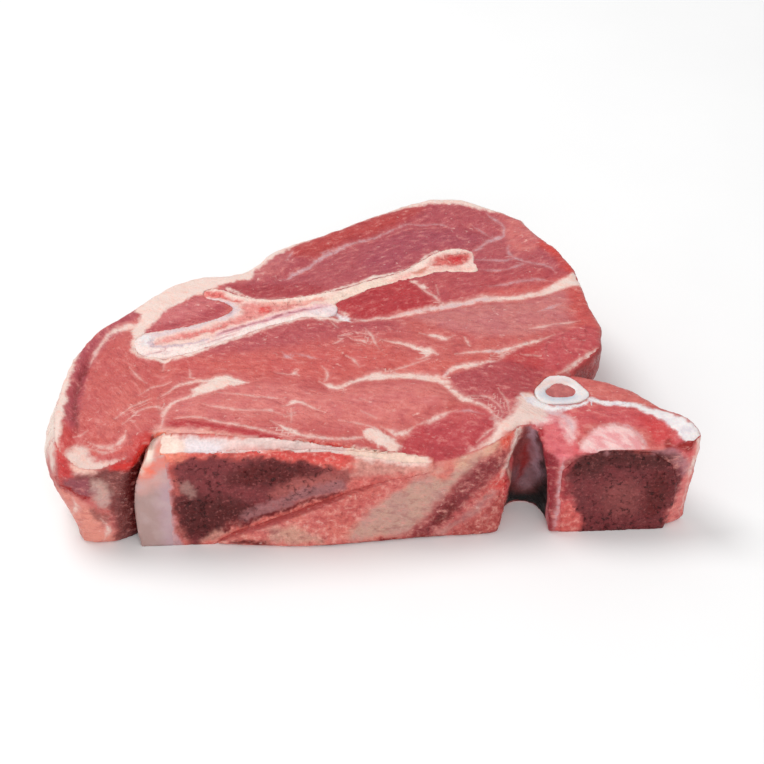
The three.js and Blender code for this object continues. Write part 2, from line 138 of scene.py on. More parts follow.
LILAC_STROKES = [
    # membrane round the upper muscle
    [(-38, 24.6, .3), (-34.6, 25, .6), (-32, 28, .9), (-28.6, 31, .9), (-26, 33.6, .8),
     (-23, 38, 1.0), (-20, 40.6, 1.3), (-17, 43.4, .9), (-13, 46.8, .8), (-9, 49.6, .7),
     (-4, 52, .6), (0, 54, .5), (4, 57, .5), (8, 60, .5), (12, 62.6, .4), (18, 62.4, .35),
     (25, 63, .4), (29, 60.6, .35)],
    [(39, 61, .25), (42, 57.5, .35), (45, 54, .3)],
    [(-35, 37, .8), (-33.6, 41, .8)], [(-21.4, 42.6, .8), (-18, 45.6, .3)],
    [(45, 69, .5), (47.4, 65, .7), (50.4, 61.6, .5), (50.6, 57.4, .6), (50.2, 54.4, .8),
     (47.4, 52.4, 1.0), (44.6, 50.6, .9), (42.6, 47.4, .8), (40.4, 44.8, .9), (37.6, 42.4, 1.0)],
    # over the cream of the right seam and of the short seam
    [(8, 1.6, .3), (14, 3, .5), (20, 5, .6), (25, 6.2, .8), (31, 8, .8), (36, 9.8, .7),
     (41, 11.2, .9), (44.6, 12.2, .7)],
    [(38, -23, .4), (43, -22.6, .8), (48, -21.4, .5)],
    [(44, 18.8, .3), (50, 20.4, .6), (56, 22, .6), (62, 23.6, .6), (67, 22.8, .4)],
    [(38, 36.6, .5), (44, 36.4, .6), (50, 36.2, .6), (54, 38, .7), (58, 36, .5), (62, 34.4, .5),
     (66.4, 32.4, .6), (69, 29, .4)],
    [(40, 30, .25), (46, 29.4, .6), (50, 30, .4), (54, 32, .5), (58, 34.6, .4)],
    [(52, 46, .5), (51.4, 42.6, .6), (54, 38, .4)],
    [(-34, -24.6, .7), (-32.6, -26.4, 1.0), (-30.6, -28, .6)],
    [(-30, -24, .4), (-25, -25.6, .6), (-21.4, -27, .5)], [(24.4, -36.6, .8), (25.6, -34.4, .5)],
    [(-103, -21.6, .4), (-104.2, -26, .4)], [(-75, -59.6, .4), (-74.9, -63, .4)],
    [(58.6, -55, .6), (63.6, -54.8, 1.1), (66.8, -57.3, 1.2), (68.8, -61.1, 1.2), (69, -65, .6)],
    [(80, -61, .3), (86, -60.6, .6), (90.4, -63, .6), (93.4, -67, .5), (95.6, -70, .3)],
    [(-24, 3.6, 1.0), (-20.4, 4, 1.5), (-17, 2.6, 1.4), (-13.6, -.4, 1.0), (-10, -3.5, .3)],
    [(62, 2.4, .7), (66, 4.6, .9), (69.6, 7, .6)], [(-22, -2.6, .5), (-18.6, -5, .4)],
    [(29, -56, .5), (33, -55.4, .6), (37, -56.4, .3)],
]

# Folds of the cut face: they sink in the relief, and are also painted dark with the fold colour.
FOLDS = [
    [(-104.8, -25, .3), (-105.6, -32, .9), (-106.6, -40, 1.0), (-107.2, -48, .8),
     (-106.6, -55, .9), (-105.2, -62, .8), (-104.2, -67, .4)],
    [(67, -33.6, .6), (72.6, -30.2, .9), (78, -26, .9), (83, -22.4, .6)],
]
# Lines painted dark in the fold colour along the folds and creases: painted crease shade.
CREASE_SHADE_STROKES = FOLDS + [
    [(74.4, -15, .7), (75, -16.6, .5)], [(-77.6, -25, .2), (-78.4, -29, .5), (-77.6, -33, .3)],
    [(-77, -44, .2), (-77.6, -51, .3), (-76.6, -58, .2)],
    [(65, -13, .2), (62.6, -20, .3), (62, -26, .2)], [(70, -10, .2), (68.6, -18, .3), (72, -25, .2)],
    [(78, -8, .2), (77, -16, .3), (74, -23, .2)], [(16, 4.6, .2), (25, 7.8, .3), (34, 10.4, .2)],
    [(-2, -33.4, .3), (3, -33, .4), (8, -33.4, .2)], [(30, -30, .2), (38, -28.6, .3)],
]

# The white ligament of the backbone block, in the same form.
LIGAMENT_STROKES = [
    [(75, -46.4, 1.2), (80, -49.2, 1.3), (86, -49.8, 1.3), (92, -51.6, 1.6), (97, -54.2, 1.9),
     (101, -57.4, 2.1), (105, -61.6, 2.4), (109, -65.8, 2.8), (113, -69.4, 3.4)],
    [(77, -48, .8), (73, -50.6, 1.1), (67, -52.4, 1.3), (61, -52.2, 1.5), (57, -50.6, 2.0),
     (54.4, -50, 2.2), (52.6, -48.6, 1.4)],
    # the wisp at the blade bone's tip
    [(-14.4, .8, 1.7), (-12.6, -.8, 1.5), (-10.8, -2.4, .9), (-9, -4, .3)],
]

# The fat rim lies along the outer edge of the upper face; each row's width reaches inwards.
RIM_STROKES = [
    [(-64, 26, 4.0), (-60, 26, 5.2), (-55, 27.5, 4.4), (-49.5, 30.5, 3.0), (-44, 38, 3.2),
     (-36, 45.6, 2.6), (-30, 50, 1.6), (-20, 56, 1.0), (0, 68.6, 1.1), (10, 74.5, 1.9),
     (18, 79, 3.8), (28, 81.8, 5.4), (36, 80.6, 5.4), (43, 76, 4.0), (50, 72, 2.2),
     (56, 68, .8)],
    [(-109.6, -22, .8), (-112.4, -34, 2.6), (-115, -46, 4.6), (-116, -56, 6.0), (-116.4, -66, 6.6),
     (-116, -74, 6.2), (-113.6, -82, 5.0)],
]

# Ragged fat along the blade bone's edges.
FRINGE_STROKES = [
    [(-90, -17, .9), (-89, -22, 1.0), (-86, -26, 1.0), (-80, -27, .8), (-75, -27.4, 1.0),
     (-70, -26, 1.0), (-64, -23, .8), (-58, -19, .9), (-52, -15, .7), (-46, -12, .7),
     (-40, -8.6, .5), (-34, -5.4, .4), (-28, -3, .4), (-20, -2.6, .5), (-14, -2.4, .6), (-10, -1.6, .3)],
    [(-57, 17, .8), (-53, 13, .7), (-48, 10, .5), (-40, 9, .3), (-32, 10, .4), (-24, 12, .5),
     (-14, 16, .6), (-6, 20.4, .7), (-1, 23.6, .9), (6, 26, .6), (14, 31, .5), (18, 36, .5),
     (21, 40, .5), (24, 42, .4)],
    [(-14, 3, .7), (-11, .6, .4), (-8, -1.6, .3)], [(13, 22, .5), (16, 20.4, .4), (19, 17, .3)],
]

# Closed outlines in plan, as rows of x and y.
CREAM_PATCHES = [
    # the fat at the upper left, down to the bulb of the blade bone
    [(-91, 4), (-87, 10), (-82, 15), (-76, 20), (-67, 25), (-58, 27), (-50, 30), (-47.6, 27),
     (-49, 24), (-53, 22.4), (-57, 20), (-60, 18), (-63, 15.6), (-66.5, 12.6), (-70, 11),
     (-73, 7.8), (-77.4, 4.6), (-80, 1.4), (-82, -3), (-84.5, -8), (-86.4, -12.6), (-87, -23),
     (-90.4, -20), (-90, -13), (-91.4, -10), (-90, -6), (-88.4, -1), (-90, 1)],
    [(-46, -41.4), (-50, -40), (-54, -37.6), (-57, -38.2), (-60, -40.4), (-63, -43), (-66, -46.6),
     (-63, -47.2), (-58, -45.6), (-53, -44), (-48, -42.4)],
    # where the round muscle ends at the sawn edge
    [(-4, -66.6), (-3, -64), (1, -64.3), (5, -66.5), (8.4, -69), (6.5, -72.4), (3, -71),
     (-1, -69.4)],
    # outer end of the right seam
    [(80, 30), (76.6, 29), (73, 25), (69, 21.4), (66, 18.4), (70, 18.8), (74, 19.6), (80, 19)],
]
# Fat that fades into the flesh round it.
SOFT_CREAM_PATCHES = [
    # front of the left lobe
    [(-106.6, -75.4), (-103, -73), (-100.4, -73.8), (-98.8, -77), (-94, -78.6), (-89, -79.4),
     (-86, -80.4), (-88, -83), (-93, -86), (-107, -88), (-108, -79)],
    # the connective wedge before the canal, and on towards the rib
    [(41, -58.6), (44, -61), (47, -59.4), (49.4, -55), (50.6, -49.6), (53, -46), (57, -47),
     (60.4, -51), (60, -58), (57.6, -60.4), (54.4, -61.6), (51.6, -63.6), (49.6, -65.6),
     (46.4, -66), (44.4, -68.4), (42.4, -72.4), (39, -77.4), (28, -80), (30, -74), (34.6, -71),
     (38.6, -68.8), (41.4, -66.4), (42, -62.6)],
]
PINK_WHITE_PATCHES = [
    # pink tissue from the slice to the backbone
    [(53, -60), (56, -56), (60, -56), (62.6, -58), (60, -61), (56, -62)],
    # the pale oval on the backbone block
    [(70.9, -72.5), (72.2, -68.3), (75.8, -63.8), (81.6, -61.4), (87.9, -62), (91.5, -65.4),
     (94.6, -70), (90, -72.8), (83.5, -74.4), (77, -75.6), (72.2, -75.8)],
    # pale flesh under the rib
    [(61, -54), (66, -55.6), (69.6, -58.6), (70.4, -64), (68, -68), (65.6, -64), (64, -59)],
]

# Muscles and other areas that differ in colour. Each tint, here and below, has a name, a colour,
# the softness of its border in mm and an outline; later ones lie over earlier ones.
PLAN_TINTS = [
    ("flesh under the bar", (189, 93, 96), 5.0,
     [(-66, -22), (-50, -12), (-30, -2), (-10, -3), (6, 0), (8, -10), (-10, -14), (-26, -18),
      (-46, -24), (-62, -28)]),
    ("bright flesh of the middle", (208, 103, 97), 6.0,
     [(-74, -26), (-58, -26), (-40, -24), (-20, -20), (0, -20), (10, -26), (4, -32), (-16, -38),
      (-40, -38), (-60, -37), (-74, -38)]),
    ("pale lower left", (215, 124, 118), 4.0,
     [(-72, -52), (-56, -46), (-40, -42), (-20, -46), (2, -41), (20, -41), (26, -50), (14, -58),
      (8, -62), (-8, -66), (-34, -62), (-52, -62), (-70, -60)]),
    ("upper muscle", (184, 93, 98), 1.6,
     [(-52, 22), (-46, 31), (-38, 44), (-24, 55), (0, 69), (16, 80), (34, 84), (50, 72),
      (60, 66), (72, 46), (79, 30), (73, 24), (60, 15), (48, 11.5), (36, 10), (20, 5), (0, -1),
      (-12, -3), (-18, 6), (-24, 12), (-40, 9), (-58, 12), (-58, 20)]),
    ("purple middle of the upper muscle", (176, 88, 98), 6.0,
     [(-6, 34), (0, 50), (12, 58), (30, 58), (42, 52), (36, 44), (24, 44), (12, 34), (2, 28)]),
    ("strip beyond its membrane", (188, 82, 80), 3.0,
     [(-36, 42), (-24, 53), (-6, 64), (8, 72), (20, 74), (12, 65), (0, 56), (-14, 48), (-26, 38)]),
    ("wedge muscle", (185, 70, 74), 0.8,
     [(-18, 3), (-14, 10), (-6, 16), (4, 20.5), (15, 22), (20, 15), (26, 7), (10, 2), (-8, -1)]),
    ("muscle beside it", (189, 91, 94), 1.2,
     [(15, 22), (26, 27), (38, 28), (56, 31), (74, 28), (60, 16), (44, 12.5), (25, 7.5)]),
    ("brighter foot of it", (206, 104, 100), 3.0,
     [(40, 13), (50, 18), (62, 21), (72, 26), (74, 22), (62, 16), (50, 12.6)]),
    ("right rim of flesh", (212, 112, 104), 2.6,
     [(52, 73), (60, 66), (70, 47), (75, 30), (76, 20), (75, 4), (78, -10), (84, -22), (90, -10),
      (88, 40), (70, 66), (56, 78)]),
    ("upper muscle's end", (211, 120, 116), 2.6,
     [(50, 70), (58, 66), (66, 50), (63, 43), (56, 42), (51, 50), (52, 60)]),
    ("red edge beyond it", (212, 84, 78), 2.2,
     [(64, 52), (69, 50), (76, 34), (78, 28), (74, 28), (70, 38), (65, 44)]),
    ("upper muscle's start", (196, 112, 112), 3.0,
     [(-54, 21), (-48, 29), (-40, 40), (-35, 42), (-34, 34), (-40, 27), (-48, 22)]),
    ("dark foot of the start", (176, 76, 81), 3.0,
     [(-58, 18), (-46, 20), (-30, 20), (-16, 15), (-24, 12), (-40, 9), (-52, 12)]),
    ("dark fibrous muscle", (181, 84, 88), 1.6,
     [(26, -38), (36, -33), (44, -27), (52, -22), (60, -17), (66, -14), (65, -24), (61, -32),
      (58, -38), (56, -43), (52, -48), (49, -55), (47, -60), (43, -60), (38, -52.5), (31, -49),
      (27, -44)]),
    ("its brighter top", (196, 84, 84), 3.0,
     [(40, -27), (52, -22), (62, -16), (66, -24), (60, -31), (50, -30)]),
    ("pale middle right", (204, 124, 121), 3.0,
     [(20, -6), (34, -12), (50, -14), (64, -10), (76, -4), (77, 14), (70, 16), (58, 10), (44, 9),
      (30, 5), (14, 0)]),
    ("red edge of the middle right", (206, 96, 90), 2.6,
     [(73, 16), (79, 17), (84, 0), (80, -10), (74, -6), (73, 4)]),
    ("flesh over the short seam", (210, 108, 100), 3.0,
     [(20, -30), (30, -26), (44, -25), (40, -29), (28, -33), (10, -34), (0, -31), (8, -26)]),
    ("right slab", (198, 92, 95), 2.0,
     [(64, -15), (74, -9), (82, -10), (84, -21), (76, -27), (68, -32), (62, -30), (60, -22)]),
    ("round muscle", (189, 80, 84), 0.7,
     [(8, -72.5), (10.6, -66), (14.4, -61.2), (20, -59.8), (25, -57.3), (30, -55.6),
      (36, -53.6), (41, -55), (42, -59), (42, -64), (39, -68), (35, -70.6), (30, -73),
      (22, -75), (12, -76)]),
    ("brighter top of the round muscle", (200, 96, 96), 2.4,
     [(24, -58), (30, -54.6), (38, -54), (41, -58), (36, -60), (28, -60)]),
    ("dark edge band", (191, 73, 76), 1.0,
     [(-72, -62.6), (-60, -63.8), (-48, -66.8), (-38, -70), (-30, -72.4), (-20, -73.6), (-10, -73),
      (2, -71), (8, -74), (0, -76), (-30, -76.5), (-52, -69.4), (-60, -67.6), (-72, -67)]),
    ("cream flesh behind the spine", (234, 172, 158), 1.6,
     [(-77, -65), (-70, -67), (-60, -68.4), (-52, -70.4), (-46, -72.6), (-46, -76), (-60, -76),
      (-78, -76)]),
    ("left column", (204, 102, 97), 4.0,
     [(-103, -12), (-90, -22), (-80, -30), (-78, -48), (-84, -68), (-100, -70), (-104, -40)]),
    ("pale foot of the column", (210, 112, 105), 4.0,
     [(-96, -54), (-86, -44), (-78, -44), (-77, -60), (-84, -70), (-96, -70)]),
    ("island in the fork", (205, 115, 116), 1.2,
     [(-80, 3), (-72, 7.8), (-67, 10.4), (-61, 8), (-57, 3), (-58.5, -1.4), (-66, -6.6),
      (-78, -11.6), (-86, -13.6), (-87, -11), (-83, -3)]),
    ("its dark foot", (180, 78, 84), 2.4,
     [(-86, -12.6), (-78, -10), (-68, -6), (-60, -1.6), (-57, 3), (-60, 5), (-66, -1), (-76, -6),
      (-84, -9)]),
    ("crimson strip", (184, 92, 98), 1.4,
     [(-88, 6), (-93, 2), (-99, -4), (-104, -12), (-108.6, -21), (-111, -31), (-112, -45),
      (-112, -60), (-111, -73), (-106, -72), (-104.5, -60), (-105, -44), (-103.6, -30),
      (-101, -20), (-97, -12.4), (-93, -7), (-89, -2)]),
    ("bright foot of the strip", (206, 90, 86), 2.0,
     [(-112, -64), (-106, -66), (-104.6, -72), (-107.4, -76), (-108, -86), (-112, -86)]),
    ("red between the lobe's fats", (208, 100, 94), 1.2,
     [(-99, -74), (-94, -75), (-88, -74), (-84, -76), (-85, -78.4), (-92, -77.2), (-98, -75.6)]),
    ("red notch of the lobe", (202, 76, 72), 1.8,
     [(-93, -84), (-90, -80.6), (-85, -79), (-84, -72), (-80, -68), (-77, -70), (-78, -76),
      (-82, -84)]),
    # backbone block
    ("back flesh", (210, 114, 107), 0.8,
     [(70, -33), (80, -35), (88, -38), (98, -45), (106, -55), (100, -56), (92, -51), (84, -48),
      (78, -47), (75, -42)]),
    ("block flesh", (207, 99, 100), 0.8,
     [(60, -53), (68, -52.4), (78, -50.5), (88, -51.5), (96, -54.5), (102, -59.5), (108, -66),
      (110, -71), (100, -69.6), (96, -64), (90, -61.6), (80, -60), (74, -61.5), (72, -66),
      (66, -62), (62, -58)]),
    ("brighter foot of it", (210, 84, 84), 1.6,
     [(90, -56), (98, -58), (103, -63), (104, -69), (98, -68), (94, -62)]),
    ("bright pink flesh", (221, 116, 120), 1.4,
     [(56, -60), (62, -56), (66, -62), (69, -66), (71, -68), (72, -78), (55, -78)]),
    ("crimson edge of the canal", (166, 40, 58), 1.0,
     [(56.6, -61.6), (58.6, -63), (59, -68), (60.4, -78), (56, -78)]),
    ("front rim of the block", (220, 122, 116), 1.0,
     [(88, -71), (96, -70), (102, -69.4), (102, -76), (88, -76)]),
    ("bright left end of that rim", (220, 104, 108), 1.0, [(69, -70), (76, -71), (76, -78), (68, -78)]),
    ("red corner spot", (156, 54, 50), 1.2,
     [(101, -68.4), (106, -69), (112, -69.6), (112, -76), (104, -74)]),
    ("orange spot before the canal", (222, 100, 82), 1.6,
     [(45, -66.6), (48.4, -66.4), (49, -70), (48.6, -74), (45.8, -74.6), (44.4, -70)]),
]

# Places where fat marbles the flesh: x, y, radius and strength.
MARBLED = [
    (-45, 27, 5, 0.9), (-66, 6, 4, 0.8), (-8, -14, 8, 0.8), (-28, -4, 5, 0.5), (48, 1, 8, 0.6),
    (60, 50, 6, 0.6), (66, 4, 6, 0.6), (-86, -58, 8, 0.5), (-70, -44, 6, 0.5), (-30, -57, 10, 0.3),
    (46, -52, 5, 0.6), (38, 58, 5, 0.6), (70, -20, 7, 0.6), (-40, -14, 7, 0.4), (12, 40, 7, 0.3),
    (-45, -10, 6, 0.4), (66, -60, 5, 0.5),
]

# ---- the sawn front, in x and z

FRONT_TINTS = [
    ("coral flesh", (208, 120, 110), 2.0,
     [(-76, -2), (-76, 12), (-50, 10), (-20, 24), (4, 28), (20, 32), (22, 20), (10, 12), (0, -2)]),
    ("deeper coral", (196, 104, 97), 3.0,
     [(-24, 10), (-16, 20), (-2, 27), (6, 27), (-2, 16), (-10, 8)]),
    ("shaded flesh under the spine's end", (192, 128, 118), 1.4,
     [(-14, 27), (-8, 30.4), (4, 30.6), (20, 31), (20, 29), (6, 28.4), (-8, 27)]),
    ("tan fat at the base", (196, 146, 130), 1.6,
     [(-38, 8.4), (-30, 9), (-22, 6), (-18, 3), (-26, 2.4), (-36, 3.4)]),
    ("tan fat beside the spine's foot", (206, 150, 134), 1.4,
     [(-64, 6), (-56, 7.6), (-52, 5), (-58, 2), (-64, 2)]),
    ("ligament", (186, 148, 134), 2.2,
     [(-10, 2.6), (-7, 8.4), (-1, 15), (6, 20), (13, 25), (20, 29), (28, 33), (34, 35.6),
      (38, 34), (33, 27), (26, 21), (20, 13), (14, 6), (8, 2.4), (0, 3)]),
    ("warm upper end of the ligament", (210, 164, 142), 2.2,
     [(20, 31), (30, 35), (38, 38), (44, 38), (42, 34), (36, 32), (28, 28), (22, 28)]),
    ("dark band beside it", (138, 66, 68), 2.2,
     [(12, 2), (17, 8), (23, 16), (29, 23), (34, 28.6), (39, 31), (45, 32), (47.6, 30), (46, 27),
      (42, 25), (36, 19), (30, 13), (24, 7), (19, 2)]),
    ("dark spots of the band", (110, 44, 48), 2.2,
     [(20, 7), (24, 12), (28, 16), (27, 11), (23, 6)]),
    ("grey strip", (172, 124, 118), 1.8,
     [(21, 2), (28, 7), (34, 12), (40, 17.4), (43, 21), (43, 18), (37, 12), (31, 7), (25, 2.4)]),
    ("coral flesh at the corner", (168, 82, 78), 1.8,
     [(27, 1), (34, 6.6), (42, 14.5), (47, 20), (49, 12), (47, -2), (30, -2)]),
    ("red spot at the canal", (196, 78, 74), 1.8,
     [(40.6, 20), (43, 24), (45, 26), (47.8, 21.4), (46.4, 16.6), (43, 17)]),
    ("orange spot over the band", (214, 94, 80), 1.8,
     [(42.6, 48), (42.4, 39), (43.4, 35.6), (46, 34.4), (48.8, 36), (49.6, 48)]),
    ("ragged red foot", (140, 46, 46), 0.9,
     [(-22, -2), (-18, 1.2), (-10, .9), (0, 1.6), (10, 1.4), (16, 1.9), (22, 1), (22, -2)]),
    # Painted shade in the gap at the foot of the sawn front.
    ("painted shade in the gap at the foot", (116, 52, 50), 0.9,
     [(-52, 2), (-50, 3.2), (-42, 3.4), (-38, 2.8), (-40, 1), (-50, 1)]),
    ("pale fat over the ligament", (236, 204, 184), 1.6,
     [(29.7, 34.2), (34.8, 35.4), (39.6, 36.8), (42, 39.4), (43, 42.6), (44.4, 44.8), (49.4, 45.2),
      (49.6, 52), (24, 52), (22, 40), (26, 36.6)]),
    # left lobe
    ("lobe's brown flesh", (125, 74, 71), 2.4,
     [(-112, 33), (-108, 30), (-99, 33), (-86, 36), (-78, 36), (-80, -2), (-91, -2), (-93, 10),
      (-96, 22), (-108, 24)]),
    ("purple part of it", (146, 82, 88), 1.8,
     [(-109, 30), (-104, 29), (-100, 30), (-100, 22), (-104, 23), (-109, 26)]),
    ("lobe's pale patch", (186, 152, 142), 1.4,
     [(-99, 28.6), (-96, 29.8), (-93.6, 28), (-93, 22), (-94.4, 17.6), (-97, 18), (-99, 21)]),
    ("lobe's pink foot", (212, 140, 126), 1.6,
     [(-112, 22), (-107, 20.6), (-102, 19.4), (-99.4, 14), (-95, 11), (-93.4, 6), (-93, 2),
      (-95, -2), (-112, -2)]),
    ("brown fold over the foot", (150, 92, 86), 1.2,
     [(-100, 17.4), (-96, 14.6), (-94, 11), (-96, 9.6), (-98.6, 12.4), (-100.6, 15)]),
    ("dark line of the lobe", (150, 50, 48), 0.7,
     [(-111, 26.4), (-107, 25), (-103, 22.6), (-100, 21), (-101, 19.8), (-105, 21.6),
      (-110, 23.6)]),
    ("lobe's pale lip", (237, 190, 176), 1.6,
     [(-107.4, 48), (-107.2, 37), (-105, 33), (-101.6, 31.4), (-98, 32.6), (-95, 35), (-91, 36.4),
      (-90, 38.4), (-86, 40), (-88, 43), (-92, 48)]),
    ("lobe's crimson end", (198, 74, 72), 1.2,
     [(-112, 46), (-107.6, 46), (-107, 38), (-105.6, 32), (-107, 29), (-111, 28)]),
    # Painted shade inside the cleft beside the lobe.
    ("painted shade inside the cleft", (92, 40, 42), 2.4,
     [(-88.4, 30), (-84, 39), (-78, 42), (-76, 30), (-80, -2), (-88.6, -2), (-88, 14)]),
    ("red lip of the lobe", (200, 64, 60), 1.2,
     [(-91.4, 34), (-90.8, 36.6), (-86, 37), (-84, 39), (-82, 46), (-78, 46), (-80, 37),
      (-84.6, 34)]),
    # backbone block
    ("block's red ground", (200, 98, 98), 1.0, [(54, -4), (54, 46), (118, 46), (118, -4)]),
    ("block's upper left", (227, 129, 134), 1.6,
     [(58, 46), (69, 46), (69.6, 35), (67, 30), (62, 30), (59.6, 36)]),
    ("red left strip", (140, 57, 63), 1.6,
     [(56, -3), (56, 31), (63.8, 31), (64, 14), (62.6, -3)]),
    ("dark flesh beside the sponge", (138, 60, 64), 1.4,
     [(65.6, 30), (68.4, 31), (68.4, 15), (66.4, 14), (65.4, 20)]),
    ("bright rim over the sponge", (218, 108, 112), 1.4, [(69, 32), (70, 38), (77, 38), (77, 33)]),
    ("pink-white rim", (234, 172, 176), 2.0, [(76, 33.4), (76, 46), (90, 46), (89.4, 36), (84, 34)]),
    ("orange rim", (220, 120, 112), 1.8,
     [(88, 33.4), (89, 39), (100, 39.6), (101.6, 35.4), (97, 33), (92, 33)]),
    ("lilac rim", (172, 118, 121), 1.8,
     [(98, 36), (104, 35), (109.6, 29), (111.4, 24), (108.4, 21), (105, 27), (101, 31), (96, 33)]),
    ("dark red corner", (148, 52, 48), 1.2, [(102, 46), (112.4, 46), (112, 35), (108, 34), (103, 36)]),
    ("coral corner", (196, 98, 92), 2.2,
     [(66, 13), (70, 12), (72.6, 6), (75, 1), (76, -3), (64, -3), (65, 6)]),
    ("block's coral right edge", (206, 118, 112), 1.8,
     [(102, 0), (104.4, 8), (107, 16), (109, 22), (112, 20), (112, -3), (100, -3)]),
]

# The canal's lining, in x and in the height that the camera sees against the front.
CANAL_TINTS = [
    ("lining", (112, 66, 66), 1.0, [(40, -30), (40, 60), (66, 60), (66, -30)]),
    ("grey sheen", (112, 86, 90), 2.5, [(50, 20), (49, 27), (57, 30), (60, 22), (55, 17)]),
    ("red streak", (112, 38, 43), 1.8, [(51, 21), (51.6, 30), (53, 38), (54.6, 38), (54, 28)]),
    ("lilac ridge", (134, 108, 116), 1.8,
     [(53.8, 46), (56, 46), (57.2, 37), (59, 31), (60, 25), (57.6, 22), (56.4, 30), (55, 38)]),
    # Painted shade in the crease beside the ridge.
    ("painted shade of the crease beside it", (54, 26, 30), 0.9,
     [(56, 46), (57.2, 46), (58.4, 37), (60.2, 30), (61.2, 24), (60, 24), (58.8, 31), (57.2, 37)]),
    ("crimson edge", (172, 50, 66), 1.2,
     [(57.4, 46), (61, 46), (62.2, 34), (63.2, 28), (61.6, 28), (58.8, 36)]),
    # Painted shadow deep in the canal, at its foot.
    ("dark foot", (46, 27, 27), 3.8,
     [(44, 15), (50, 17), (56, 17), (59, 24), (60, 30), (61.4, 28), (64, 12), (64, -40),
      (44, -40)]),
]

# Rows are x, z and half-width.
FRONT_CREAM_STROKES = [
    [(50.4, 44, 1.0), (50, 39, 1.1), (48.6, 34, 1.0), (46.8, 28.6, .9), (44.4, 24, .6), (43, 21.6, .3)],
    [(110.6, 20, .5), (111.6, 26, .9), (113, 32, 1.3), (114, 40, 1.6)],
    [(109.4, 4, .3), (110, 12, .3), (110.6, 20, .4)],
    [(-107, 12, .4), (-105.6, 16, 1.2), (-106, 19, .6)], [(-96.4, 3, .5), (-94.6, 7, .8), (-96.4, 11, .4)],
    [(6.6, 27.4, .3), (8.4, 29, .5)], [(-68, 2.6, .5), (-65, 1.6, .4)],
    [(-113.4, 44, 2.0), (-114, 36, 2.0), (-113, 29, 1.2)],
]
FRONT_LILAC_STROKES = [
    [(65.4, 31, .7), (65, 26, .8), (64.6, 18, .8), (64.4, 10, .7), (63.6, 2, .5)],
]
# Creases of the lobe's front, painted dark in the fold colour: painted crease shade.
FRONT_CREASE_SHADE_STROKES = [
    [(-92.6, 28, .3), (-92.2, 20, .6), (-92.6, 12, .3)], [(-100, 31, .4), (-95, 31, .5), (-91, 30, .3)],
]

# ---- bones

